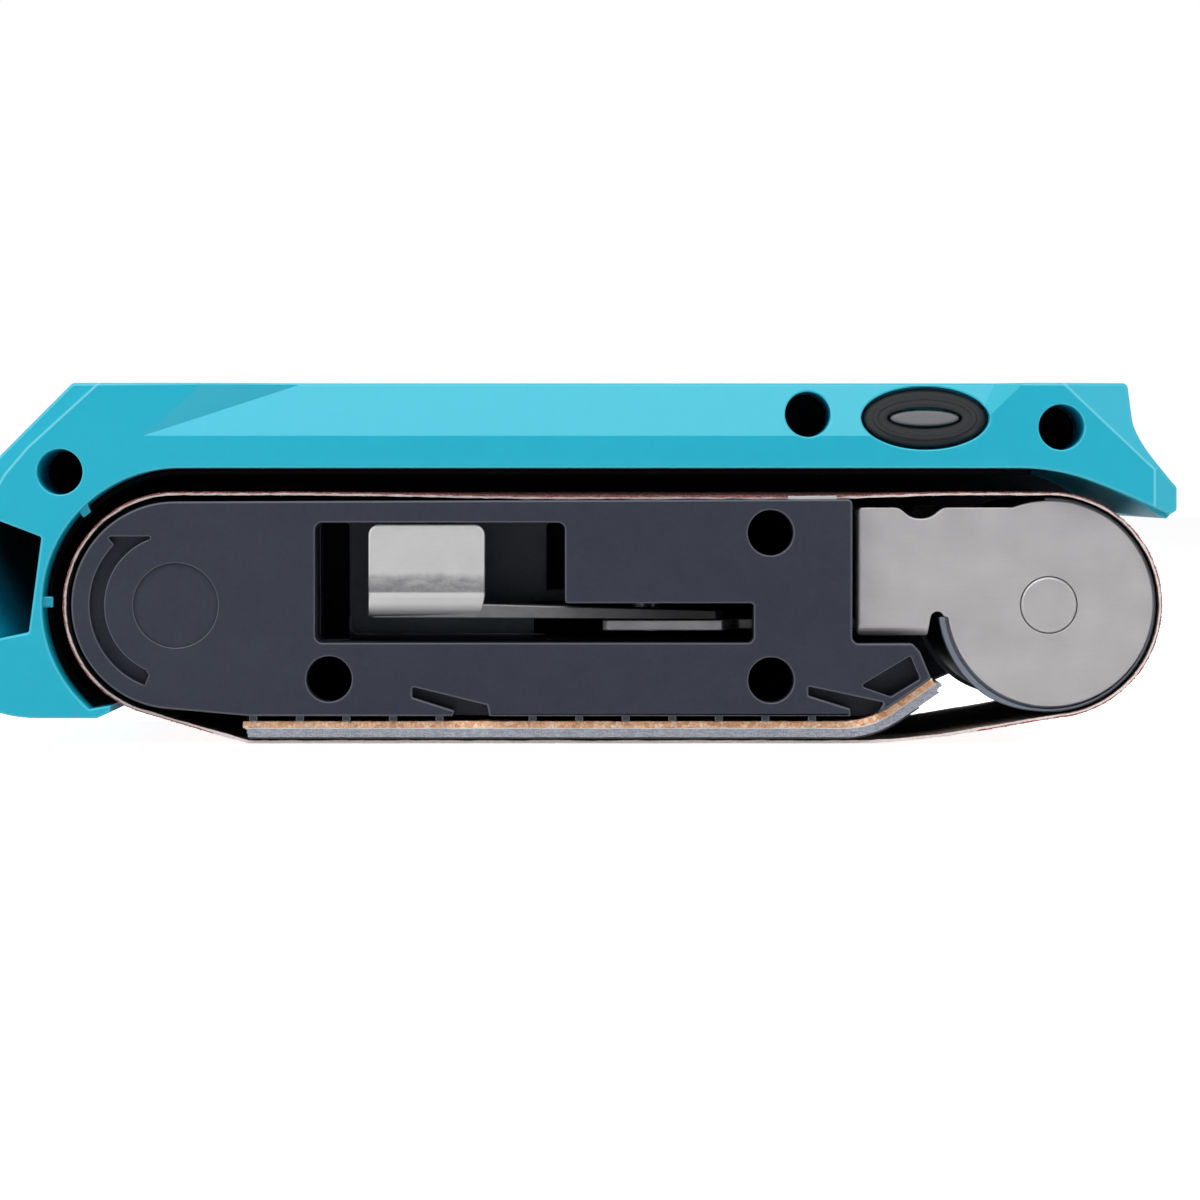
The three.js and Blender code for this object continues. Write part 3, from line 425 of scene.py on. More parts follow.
def rounded(corners, step=15.0):
    """Outline through (x, z) or (x, z, radius) corners, each rounded by an arc of its radius."""
    out = []
    for i, corner in enumerate(corners):
        x, z = corner[:2]
        radius = corner[2] if len(corner) > 2 else 0
        if not radius:
            out.append((x, z))
            continue
        here = Vector((x, z))
        back = (Vector(corners[i - 1][:2]) - here).normalized()
        on = (Vector(corners[(i + 1) % len(corners)][:2]) - here).normalized()
        half = back.angle(on) / 2
        middle = here + (back + on).normalized() * radius / math.sin(half)
        start = here + back * radius / math.tan(half) - middle
        sweep = math.pi - 2 * half
        if back.x * on.y - back.y * on.x > 0:
            sweep = -sweep
        count = max(2, math.ceil(math.degrees(abs(sweep)) / step))
        for k in range(count + 1):
            a = sweep * k / count
            turned = (start.x * math.cos(a) - start.y * math.sin(a), start.x * math.sin(a) + start.y * math.cos(a))
            out.append((middle.x + turned[0], middle.y + turned[1]))
    return out


def box_loop(x0, x1, z0, z1, radius=0.0):
    return rounded([(x0, z0, radius), (x1, z0, radius), (x1, z1, radius), (x0, z1, radius)])


def clean(loop):
    """Counter-clockwise, with no doubled points."""
    out = []
    for point in loop:
        if not out or math.dist(point, out[-1]) > 1e-4:
            out.append(tuple(point))
    if math.dist(out[0], out[-1]) < 1e-4:
        out.pop()
    area = sum(a[0] * b[1] - b[0] * a[1] for a, b in zip(out, out[1:] + out[:1]))
    return out if area > 0 else out[::-1]


def inset(loop, distance):
    """The loop moved inwards by distance, or outwards if it is negative."""
    out = []
    for i, here in enumerate(loop):
        before, after = Vector(loop[i - 1]), Vector(loop[(i + 1) % len(loop)])
        here = Vector(here)
        first = (here - before).normalized()
        second = (after - here).normalized()
        normal_a = Vector((-first.y, first.x))
        normal_b = Vector((-second.y, second.x))
        both = normal_a + normal_b
        out.append(tuple(here + both * distance / max(0.35, 1 + normal_a.dot(normal_b))))
    return out


# ---------------------------------------------------------------- solids


class Pocket:
    """A hole in a face: its outline, the Y of its floor (None: right through), and what is sunk in its floor."""

    def __init__(self, loop, floor=None, edge=0.3, inner=(), end_edge=None):
        self.loop = clean(loop)
        self.floor = floor
        self.edge = edge
        self.end_edge = edge if end_edge is None else end_edge
        self.inner = inner


LIP_STEPS = 3


class Casting:
    """A closed solid whose side-view outline runs along Y, with rounded edges and pockets."""

    def __init__(self):
        self.bm = bmesh.new()
        self.creases = set()

    def ring(self, loop, y):
        return [self.bm.verts.new((x * MM, y * MM, z * MM)) for x, z in loop]

    def wall(self, a, b, smooth=True):
        for i in range(len(a)):
            j = (i + 1) % len(a)
            face = self.bm.faces.new((a[i], a[j], b[j], b[i]))
            face.smooth = smooth

    def cap(self, rings):
        corners = [[Vector((v.co.x, v.co.z, 0)) for v in ring] for ring in rings]
        flat = [v for ring in rings for v in ring]
        for a, b, c in tessellate_polygon(corners):
            if len({a, b, c}) == 3:
                self.bm.faces.new((flat[a], flat[b], flat[c]))

    def crease(self, ring):
        for i, v in enumerate(ring):
            self.creases.add(frozenset((v, ring[(i + 1) % len(ring)])))

    def lip(self, loop, y, edge, inwards, deeper):
        """Rings that round an edge, from the flat face to the start of the wall."""
        if edge <= 0:
            ring = self.ring(loop, y)
            self.crease(ring)
            return ring, ring
        rings = []
        for k in range(LIP_STEPS + 1):
            t = math.pi / 2 * k / LIP_STEPS
            moved = inset(loop, inwards * edge * (1 - math.sin(t)))
            rings.append(self.ring(moved, y + deeper * edge * (1 - math.cos(t))))
        for a, b in zip(rings, rings[1:]):
            self.wall(a, b)
        self.crease(rings[0])
        self.crease(rings[-1])
        return rings[0], rings[-1]

    def sink(self, pockets, y, deeper, y_through=None):
        """Makes the pockets in the face at y. Returns their mouths, and the ends of those that go right through."""
        mouths, ends = [], []
        for pocket in pockets:
            mouth, wall = self.lip(pocket.loop, y, pocket.edge, -1, deeper)
            mouths.append(mouth)
            if pocket.floor is None:
                end, far = self.lip(pocket.loop, y_through, pocket.end_edge, -1, -deeper)
                ends.append(end)
            else:
                far = self.ring(pocket.loop, pocket.floor)
                inner, deeper_ends = self.sink(pocket.inner, pocket.floor, deeper, y_through)
                ends += deeper_ends
                self.cap([far, *inner])
                self.crease(far)
            self.wall(wall, far)
        return mouths, ends

    def block(self, outline, near, far, edge=0.35, far_edge=None, pockets=(), far_pockets=()):
        outline = clean(outline)
        far_edge = edge if far_edge is None else far_edge
        near_cap, near_wall = self.lip(outline, near, edge, 1, 1)
        far_cap, far_wall = self.lip(outline, far, far_edge, 1, -1)
        self.wall(near_wall, far_wall)
        mouths, ends = self.sink(pockets, near, 1, far)
        far_mouths, _ = self.sink(far_pockets, far, -1, near)
        self.cap([near_cap, *mouths])
        self.cap([far_cap, *ends, *far_mouths])
        return self

    def split(self, point, normal):
        """Cuts every face along a plane, so that a later bend has a clean line to fold on."""
        harden(self.bm, self.creases)
        self.creases = set()
        everything = [*self.bm.verts, *self.bm.edges, *self.bm.faces]
        spot = Vector(point) * MM
        bmesh.ops.bisect_plane(self.bm, geom=everything, plane_co=spot, plane_no=Vector(normal), dist=1e-8)
        return self

    def shift(self, rule):
        """Moves every corner: rule takes and returns x, y, z in millimetres."""
        for v in self.bm.verts:
            v.co = Vector(rule(*(v.co / MM))) * MM
        return self


def harden(bm, creases):
    for pair in creases:
        edge = bm.edges.get(list(pair)) if len(pair) == 2 else None
        if edge:
            edge.smooth = False


def mesh_of(name, bm, materials, creases=()):
    harden(bm, creases)
    bmesh.ops.remove_doubles(bm, verts=bm.verts, dist=2e-7)
    bmesh.ops.dissolve_degenerate(bm, dist=1e-8, edges=bm.edges)
    bmesh.ops.recalc_face_normals(bm, faces=bm.faces)
    for edge in bm.edges:
        if len(edge.link_faces) == 2 and edge.calc_face_angle(0) > math.radians(33):
            edge.smooth = False
    mesh = bpy.data.meshes.new(name)
    bm.to_mesh(mesh)
    bm.free()
    for material in materials:
        mesh.materials.append(material)
    piece = bpy.data.objects.new(name, mesh)
    bpy.context.scene.collection.objects.link(piece)
    return piece


def place(piece, body, slot, replaced=()):
    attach(piece, body)
    if replaced:
        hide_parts(*replaced)
    return piece


def cast(name, casting, material, body, slot, replaced=(), cutters=()):
    materials = material if isinstance(material, list) else [material]
    piece = mesh_of(name, casting.bm, materials, casting.creases)
    if cutters:
        piece = carve(piece, cutters)
    return place(piece, body, slot, replaced)


def baked(piece):
    """The piece with its modifiers made real, as a plain mesh."""
    name = piece.name
    graph = bpy.context.evaluated_depsgraph_get()
    mesh = bpy.data.meshes.new_from_object(piece.evaluated_get(graph))
    bpy.data.objects.remove(piece)
    bm = bmesh.new()
    bm.from_mesh(mesh)
    for edge in bm.edges:
        if len(edge.link_faces) == 2 and edge.calc_face_angle(0) > math.radians(33):
            edge.smooth = False
    bm.to_mesh(mesh)
    bm.free()
    fresh = bpy.data.objects.new(name, mesh)
    bpy.context.scene.collection.objects.link(fresh)
    return fresh


def carve(piece, cutters):
    for cutter in cutters:
        change = piece.modifiers.new("carve", "BOOLEAN")
        change.operation = "DIFFERENCE"
        change.solver = "EXACT"
        change.object = cutter
    bpy.context.view_layer.update()
    piece = baked(piece)
    for cutter in cutters:
        if cutter.name in bpy.data.objects:
            cutter.hide_render = True
    return piece


def cutter(name, casting, turn=None):
    """A tool for carve. turn swaps its axes: "x" lays its run along X, "z" stands it up along Z."""
    if turn == "z":
        casting.shift(lambda x, y, z: (x, z, -y))
    if turn == "x":
        casting.shift(lambda x, y, z: (y, x, z))
    return mesh_of(name, casting.bm, [])


def lathe(profile, centre, sides=64, along="y"):
    """A solid of revolution from (radius, place) pairs that start and end on the axis, or close on themselves."""
    bm = bmesh.new()
    rings = []
    for radius, place_ in profile:
        if radius < 1e-6:
            rings.append([bm.verts.new((centre[0] * MM, place_ * MM, centre[1] * MM))])
            continue
        ring = []
        for k in range(sides):
            a = 2 * math.pi * k / sides
            ring.append(bm.verts.new((
                (centre[0] + radius * math.cos(a)) * MM, place_ * MM, (centre[1] + radius * math.sin(a)) * MM)))
        rings.append(ring)
    pairs = list(zip(rings, rings[1:]))
    if len(rings[0]) > 1:
        pairs.append((rings[-1], rings[0]))
    for a, b in pairs:
        for k in range(sides):
            j = (k + 1) % sides
            corners = [a[k % len(a)], a[j % len(a)], b[j % len(b)], b[k % len(b)]]
            corners = list(dict.fromkeys(corners))
            if len(corners) > 2:
                bm.faces.new(corners).smooth = True
    if along == "x":
        for v in bm.verts:
            v.co = Vector((v.co.y, v.co.x, v.co.z))
    return bm


def soften(profile, radius=0.4, steps=3):
    """Rounds the corners of a turned profile a little."""
    out = []
    for i, here in enumerate(profile):
        before, after = profile[i - 1], profile[(i + 1) % len(profile)]
        first, last = i == 0, i == len(profile) - 1
        if first or last or here[0] < 1e-6:
            out.append(here)
            continue
        a, p, b = Vector(before), Vector(here), Vector(after)
        reach = min(radius, (a - p).length * 0.45, (b - p).length * 0.45)
        start, end = p + (a - p).normalized() * reach, p + (b - p).normalized() * reach
        for k in range(steps + 1):
            t = k / steps
            q = start * (1 - t) ** 2 + p * 2 * t * (1 - t) + end * t * t
            out.append((q.x, q.y))
    return out


def turned(name, profile, centre, material, body, slot, replaced=(), sides=64, round_by=0.4, along="y"):
    piece = mesh_of(name, lathe(soften(profile, round_by), centre, sides, along), [material])
    return place(piece, body, slot, replaced)


# ---------------------------------------------------------------- repeated pieces


def repeat_tree():
    """Geometry Nodes: one piece set at every point, turned and sized by the points' own values."""
    tree = bpy.data.node_groups.new("set_in_rows", "GeometryNodeTree")
    sockets = (
        ("Geometry", "NodeSocketGeometry"), ("Piece", "NodeSocketObject"),
        ("Size", "NodeSocketFloat"), ("Finish", "NodeSocketMaterial"),
    )
    for name, kind in sockets:
        tree.interface.new_socket(name, in_out="INPUT", socket_type=kind)
    tree.interface.new_socket("Geometry", in_out="OUTPUT", socket_type="NodeSocketGeometry")
    new = tree.nodes.new
    link = tree.links.new
    inputs, outputs = new("NodeGroupInput"), new("NodeGroupOutput")
    points = new("GeometryNodeMeshToPoints")
    piece = new("GeometryNodeObjectInfo")
    spread = new("GeometryNodeInstanceOnPoints")
    real = new("GeometryNodeRealizeInstances")
    finish = new("GeometryNodeSetMaterial")
    turn, size = new("GeometryNodeInputNamedAttribute"), new("GeometryNodeInputNamedAttribute")
    turn.data_type, size.data_type = "FLOAT_VECTOR", "FLOAT_VECTOR"
    turn.inputs["Name"].default_value = "turn"
    size.inputs["Name"].default_value = "stretch"
    scaled = new("ShaderNodeVectorMath")
    scaled.operation = "SCALE"
    link(inputs.outputs["Geometry"], points.inputs["Mesh"])
    link(points.outputs["Points"], spread.inputs["Points"])
    link(inputs.outputs["Piece"], piece.inputs["Object"])
    link(piece.outputs["Geometry"], spread.inputs["Instance"])
    link(turn.outputs["Attribute"], spread.inputs["Rotation"])
    link(size.outputs["Attribute"], scaled.inputs[0])
    link(inputs.outputs["Size"], scaled.inputs["Scale"])
    link(scaled.outputs[0], spread.inputs["Scale"])
    link(spread.outputs["Instances"], real.inputs["Geometry"])
    link(real.outputs["Geometry"], finish.inputs["Geometry"])
    link(inputs.outputs["Finish"], finish.inputs["Material"])
    link(finish.outputs["Geometry"], outputs.inputs["Geometry"])
    return tree


REPEAT = repeat_tree()


def repeated(name, master, spots, material, size=1.0):
    """master set at every spot; a spot is (place, turn in radians, stretch)."""
    mesh = bpy.data.meshes.new(name)
    mesh.from_pydata([tuple(c * MM for c in place_) for place_, _, _ in spots], [], [])
    for key, column in (("turn", 1), ("stretch", 2)):
        values = mesh.attributes.new(key, "FLOAT_VECTOR", "POINT")
        values.data.foreach_set("vector", [c for spot in spots for c in spot[column]])
    piece = bpy.data.objects.new(name, mesh)
    bpy.context.scene.collection.objects.link(piece)
    rows = piece.modifiers.new("rows", "NODES")
    rows.node_group = REPEAT
    keys = {item.name: item.identifier for item in REPEAT.interface.items_tree if item.in_out == "INPUT"}
    rows[keys["Piece"]] = master
    rows[keys["Size"]] = size
    rows[keys["Finish"]] = material
    bpy.context.view_layer.update()
    piece = baked(piece)
    if not piece.data.materials:
        piece.data.materials.append(material)
    return piece


def drop(*pieces):
    for piece in pieces:
        bpy.data.objects.remove(piece)



# ---------------------------------------------------------------- belt frame
NOSE = (51.8, 19.7)
RIB_PITCH, RIB_FIRST, RIB_COUNT, HOOK_RIB = 8.66, -58.0, 13, 5
FRAME_SCREWS = [(38.2, 39.3), (38.3, 11.9), (-43.9, 12.1)]
HOUSING_SCREWS = [(-93.75, 50.6), (45.1, 61.3), (92.1, 58.9)]
SIDE_SCREWS = [(-20, 56.5), (36, 56.5)]
COVER_SCREWS = [(-99, 49), (-46, 49), (-99, 14.5), (-46, 24)]
ACCESS_RADIUS = 4.24


def frame_outline(round_end, hooks):
    """Side view of the frame; hooks opens the two slots in its underside."""
    if round_end:
        shape = arc(DRUM, 19.3, 90, 267, 3) + [(-58.8, 5.2)]
    else:
        shape = [(-51.5, 45.2), (-51.5, 5.2)]
    if hooks:
        shape += [(-21, 5.2, 0.2), (-20.5, 6.2, 0.25), (-28.4, 8.7, 0.3), (-28.4, 10.6, 0.3), (-14.5, 7.2, 0.3)]
        shape += [(-14.1, 5.2, 0.2)]
        shape += [(53.1, 5.2, 0.15), (53, 6.6, 0.25), (45.3, 9.0, 0.3), (45.2, 10.7, 0.3), (59.3, 7.7, 0.3)]
        shape += arc(NOSE, 15.4, -66, -55.5, 3)
    else:
        shape += [(52, 5.0)] + arc(NOSE, 15.4, -73, -55.5, 3)
    shape += [(68.1, 12.22, 0.5), (66.0, 17.2, 1.3), (64.6, 18.7, 0.7), (53.4, 18.7, 1.3), (53.4, 45.55, 0.9)]
    return rounded(shape)


def crescent():
    inner, outer = 13.2, 15.9
    start = [(DRUM[0] - 3.9, DRUM[1] + 12.8, 0.3), (DRUM[0] - 12.6, DRUM[1] + 12.8, 0.3)]
    start += [(DRUM[0] - 11.3, DRUM[1] + 11.3, 0.2)]
    return rounded(start + arc(DRUM, outer, 137, 249, 4) + [(-77.4, 12.8, 0.3)] + arc(DRUM, inner, 246, 110, 4))


LEVER_WINDOW = rounded([
    (-46.5, 18.8, 1.4), (35.1, 18.8, 1.2), (35.1, 26.2, 0.6), (0, 26.2, 0.5), (0, 41.2, 1.4), (-46.5, 41.2, 1.4)])
NOSE_POCKET = rounded([(54.9, 10.8, 0.4), (60.6, 8.8, 0.4), (66.0, 12.1, 0.4), (64.2, 16.4, 0.4)])


def make_frame():
    fork_room = cutter("fork_room", Casting().block(
        box_loop(46.2, 60, 19.4, 50, 0.4), -37.4, 37.6, 0))
    lever_room = cutter("lever_room", Casting().block(box_loop(-6, 35.1, 19.3, 26.2), -24.5, -9, 0))
    link_room = cutter("link_room", Casting().block(box_loop(34, 48, 20.2, 23.8), -29, -17, 0))
    through = [Pocket(circle(spot, ACCESS_RADIUS), None, 0.3, (), 0) for spot in FRAME_SCREWS]
    through += [Pocket(LEVER_WINDOW, None, 0.3, (), 0), Pocket(NOSE_POCKET, None, 0.25, (), 0)]
    dish = Pocket(circle((DRUM[0] + 0.1, DRUM[1]), 7.9, 64), FRAME_NEAR + 0.5, 0.2)
    slot = Pocket(crescent(), FRAME_NEAR + 2.6, 0.25)
    face = Casting().block(
        frame_outline(True, True), FRAME_NEAR, FRAME_PLATE, 0.4, 0, [*through, dish, slot])
    cast("frame_face", face, CHARCOAL, "housing", "charcoal_plastic", ["belt_frame"], [fork_room])

    middle = -18.0
    behind_window = [
        Pocket(box_loop(-46.3, -40.9, 19.0, 41.0, 0.6), -19, 0.3),
        Pocket(rounded([
            (-3.6, 28.4), (-0.2, 28.4), (-0.2, 41.0, 0.6), (-3.6, 41.0, 0.6)]), -19, 0.3),
        Pocket(box_loop(-3.8, 34.9, 19.1, 26.0, 0.6), -19, 0.3),
    ]
    bores = [Pocket(circle(spot, ACCESS_RADIUS), None, 0) for spot in FRAME_SCREWS]
    front = Casting().block(
        frame_outline(False, False), FRAME_PLATE, middle, 0, 0,
        [*bores, Pocket(LEVER_WINDOW, -24, 0, behind_window)])
    rooms = [fork_room, lever_room, link_room]
    cast("frame_block_front", front, CHARCOAL, "housing", "charcoal_plastic", (), rooms)
    # Near-black sheets on the floors of the window's deepest pockets: painted shade, standing in for the shadow
    # there.
    for name, x0, x1, z0, z1, y in (
        ("window_back_left", -46.2, -41.0, 19.1, 40.9, -19), ("window_back_right", -3.5, -0.3, 28.5, 40.9, -19),
        ("window_back_low", -5.9, 35.0, 19.4, 26.1, -9.1),
    ):
        panel = Casting().block(box_loop(x0, x1, z0, z1, 0.4), y - 0.3, y + 0.05, 0)
        cast(name, panel, LINER, "housing", "black_liner")
    strip = rounded([
        (-40.9, 23.5), (-40.9, 19.7, 1.5), (-4.0, 19.7), (-4.0, 20.15), (-40.4, 20.15, 1.2), (-40.4, 23.5)])
    lip = Casting().block(strip, -25.2, -23.8, 0.2, 0)
    cast("window_lip", lip, CHARCOAL, "housing", "charcoal_plastic")

    deep = [
        Pocket(circle(spot, ACCESS_RADIUS), 22, 0, [Pocket(circle(spot, 2.4, 24), None, 0)])
        for spot in FRAME_SCREWS]
    rear = Casting().block(frame_outline(False, False), middle, FRAME_FAR, 0, 0.4, deep)
    spring_room = cutter("spring_room", Casting().block(circle((0, AXLE_Z), 6.6), 20, 47, 0), "x")
    cast("frame_block_rear", rear, CHARCOAL, "housing", "charcoal_plastic", (), [*rooms, spring_room])
    drop(*rooms, spring_room)


def make_ribs():
    """Cross ribs that hold the pad off the frame's underside."""
    bar = Casting().block(box_loop(-0.75, 0.75, 4.25, 5.3, 0.2), FRAME_NEAR + 0.15, FRAME_FAR - 0.3, 0.2)
    master = mesh_of("rib_master", bar.bm, [])
    spots = [
        ((RIB_FIRST + i * RIB_PITCH, 0, 0), (0, 0, 0), (1, 1, 1)) for i in range(RIB_COUNT) if i != HOOK_RIB]
    ribs = repeated("frame_ribs", master, spots, CHARCOAL)
    place(ribs, "housing", "charcoal_plastic")
    drop(master)


# ---------------------------------------------------------------- shoe


def shoe_layer(bottom, top, rear, straight, rough, torn=0.0):
    """A layer of the shoe: flat, then up round the nose, then straight, its outline a little uneven."""
    bend = 34.5
    direction = (math.cos(math.radians(bend)), math.sin(math.radians(bend)))

    def end(radius):
        start = arc(NOSE, radius, -90, -90 + bend, 6)[-1]
        return [(start[0] + direction[0] * s, start[1] + direction[1] * s) for s in (straight * 0.5, straight)]

    outer, inner = NOSE[1] - bottom, NOSE[1] - top
    count = 70
    flat = [rear + (NOSE[0] - rear) * i / count for i in range(count)]
    shape = [(x, bottom) for x in flat] + arc(NOSE, outer, -90, -90 + bend, 3) + end(outer)
    low, high = end(outer)[-1], end(inner)[-1]
    for t in (0.2, 0.35, 0.5, 0.65, 0.8):
        out = RNG.uniform(-torn, torn)
        x, z = low[0] + (high[0] - low[0]) * t, low[1] + (high[1] - low[1]) * t
        shape.append((x + direction[0] * out, z + direction[1] * out))
    shape += end(inner)[::-1] + arc(NOSE, inner, -90 + bend, -90, 3) + [(x, top) for x in flat[::-1]]
    return [(x + RNG.uniform(-rough, rough), z + RNG.uniform(-rough, rough)) for x, z in shape]


def make_shoe():
    near, far = -38.6, 37.4
    cork_body = Casting().block(shoe_layer(2.93, 4.18, -60, 9.3, 0.03, 0.08), near, far, 0.08)
    cast("cork_layer", cork_body, CORK, "housing", "cork", ["cork_pad"])
    glue = Casting().block(shoe_layer(2.72, 2.97, -59.6, 9.4, 0.04, 0.1), near - 0.05, far, 0.05)
    cast("glue_line", glue, GLUE, "housing", "cork")
    upper = Casting().block(shoe_layer(1.92, 2.76, -59.3, 10.1, 0.035, 0.22), near - 0.1, far, 0.12)
    cast("felt_upper", upper, FELT, "housing", "grey_felt", ["felt_pad"])
    lower = Casting().block(shoe_layer(1.18, 1.98, -59.1, 9.0, 0.035, 0.30), near - 0.12, far, 0.12)
    cast("felt_lower", lower, FELT, "housing", "grey_felt")
    sheet = Casting().block(shoe_layer(0.88, 1.2, -58.8, 4.2, 0.02, 0.2), near - 0.05, far, 0.06)
    cast("glide_layer", sheet, GLIDE, "housing", "graphite_cloth", ["glide_sheet"])


# ---------------------------------------------------------------- sanding belt
BELT_INSIDE = ROLLER_RADIUS + 0.25
BELT_THICK = 0.8


def belt_path():
    """(x, z, outward x, outward z) round the inside of the belt, starting under the shoe's rear end."""
    bottom, radius = BELT_THICK, BELT_INSIDE
    run, rise = DRUM[0] + 59.0, DRUM[1] - bottom
    leave = -math.acos(radius / math.hypot(run, rise)) + math.atan2(-rise, -run)
    meet = math.radians(-84)
    end = (IDLER[0] + radius * math.cos(meet), IDLER[1] + radius * math.sin(meet))
    slope = -1 / math.tan(meet)
    points = [(-59 + 110.8 * i / 110, bottom) for i in range(111)]
    points += curve((51.8, bottom), (67.8, bottom), (end[0] - 14, end[1] - 14 * slope - 0.6), end, 40)
    points += arc(IDLER, radius, -84, 90, 2.5)[1:]
    points += [(IDLER[0] - 162.3 * i / 150, DRUM[1] + radius) for i in range(1, 151)]
    points += arc(DRUM, radius, 90, 360 + math.degrees(leave), 2.5)[1:]
    last = points[-1]
    points += [(last[0] + (-59 - last[0]) * i / 15, last[1] + (bottom - last[1]) * i / 15) for i in range(1, 15)]
    out = []
    for i, here in enumerate(points):
        a, b = points[i - 1], points[(i + 1) % len(points)]
        length = math.dist(a, b)
        out.append((*here, (b[1] - a[1]) / length, (a[0] - b[0]) / length))
    return out


def settle(x, y, z):
    """How far the slack near edge of the upper run droops towards the top of the frame."""
    if z < 40 or not -50 < x < 74:
        return 0.0
    rise = 0.68 if x > -8 else 0.68 * max(0.0, (x + 50) / 42) ** 1.3
    if x > 46:
        rise = 0.68 - 0.12 * (x - 46) / 8 if x < 54 else 0.56 * (1 - ((x - 54) / 20)) ** 1.5
    return rise * 1.05 * max(0.0, (-y - 31) / 7) ** 1.4


def make_belt():
    path = belt_path()
    columns = [-BELT_HALF, -37.2, -36.2, -35.0, -33.6, -32.2, -31.0, 0.0, BELT_HALF]
    inner, outer = 0.22, BELT_THICK
    bm = bmesh.new()
    rows = []
    fray = [0.0] * 2
    for x, z, nx, nz in path:
        fray = [f * 0.5 + RNG.uniform(-0.1, 0.1) for f in fray]
        ring = []
        middle = 0.56 + RNG.uniform(-0.09, 0.09)
        spots = [(inner, fray[0], y) for y in columns] + [(middle, 0.02, BELT_HALF)]
        spots += [(outer, fray[1], y) for y in columns[::-1]] + [(middle, 0.02, -BELT_HALF)]
        for offset, shake, y in spots:
            edge = abs(y) == BELT_HALF
            out = offset + (shake * 0.6 if edge else 0)
            across = math.copysign(abs(y) - abs(shake) * 0.8, y) if edge else y
            drop_ = settle(x, y, z)
            height = max(0.0, z + nz * out - drop_)
            ring.append(bm.verts.new(((x + nx * out) * MM, across * MM, height * MM)))
        rows.append(ring)
    last = len(columns) - 1
    total = 2 * len(columns) + 2
    pale = (last, total - 1)
    for (a, b), spot in zip(zip(rows, rows[1:] + rows[:1]), path):
        # On the bottom run the grit strip of each cut edge takes the pale edge finish too: painted light, standing
        # in for the glare there.
        pale_and_lit_edge = (last, last + 1, total - 2, total - 1) if spot[1] < 3 else pale
        for k in range(total):
            j = (k + 1) % total
            face = bm.faces.new((a[k], a[j], b[j], b[k]))
            face.material_index = 2 if k in pale_and_lit_edge else (1 if k < last else 0)
            face.smooth = k not in (last, last + 1, total - 2, total - 1)
    belt = mesh_of("belt_loop", bm, [GRIT, CLOTH, EDGE])
    place(belt, "belt", "abrasive_cloth", ["sanding_belt"])

    grain = bmesh.new()
    bmesh.ops.create_icosphere(grain, subdivisions=1, radius=0.16 * MM)
    grain_master = mesh_of("grain_master", grain, [])
    fibre = bmesh.new()
    bmesh.ops.create_cone(fibre, segments=4, radius1=0.05 * MM, radius2=0.02 * MM, depth=0.5 * MM, cap_ends=True)
    fibre_master = mesh_of("fibre_master", fibre, [])
    grains, fibres = [], []
    for x, z, nx, nz in path:
        if z < 3:
            continue
        upper = z > 40 and -45 < x < 85
        for side in (-1, 1):
            for _ in range(7 if upper and side < 0 else 3):
                along = RNG.uniform(-0.6, 0.6)
                out = outer + RNG.uniform(-0.06, 0.02)
                size = RNG.uniform(0.5, 1.0)
                y = side * (BELT_HALF - RNG.uniform(0.15, 1.6))
                drop_ = settle(x, y, z)
                grains.append((
                    (x - nz * along + nx * out, y, z + nx * along + nz * out - drop_),
                    (RNG.uniform(0, 6), RNG.uniform(0, 6), 0), (size, size * 1.3, size)))
            for _ in range(2):
                along = RNG.uniform(-0.6, 0.6)
                out = RNG.uniform(inner, 0.6)
                tilt = (math.pi / 2 + RNG.uniform(-0.9, 0.9), RNG.uniform(-0.9, 0.9), 0)
                y = side * (BELT_HALF - 0.1)
                fibres.append((
                    (x - nz * along + nx * out, y, z + nx * along + nz * out - settle(x, y, z)),
                    tilt, (1, 1, RNG.uniform(0.5, 1.1))))
    pieces = [repeated("belt_edge_grains", grain_master, grains, GRIT),
              repeated("belt_edge_threads", fibre_master, fibres, EDGE)]
    for piece in pieces:
        place(piece, "belt", "abrasive_cloth")
    drop(grain_master, fibre_master)

    top = DRUM[1] + BELT_INSIDE + outer - 0.22
    tape = Casting().block([(41.5, -BELT_HALF), (50.5, -BELT_HALF), (76, BELT_HALF), (67, BELT_HALF)],
                           -top - 0.14, -(top - 0.5), 0.05)
    tape.shift(lambda x, y, z: (x, z, -y))
    for y in (-37.2, -36.2, -35, -33.6, -32.2, -31):
        tape.split((0, y, 0), (0, 1, 0))
    tape.shift(lambda x, y, z: (x, y * 1.0012, z - settle(x, y, z) + 0.02))
    cast("belt_splice_tape", tape, TAPE, "belt", "abrasive_cloth")


# ---------------------------------------------------------------- rollers


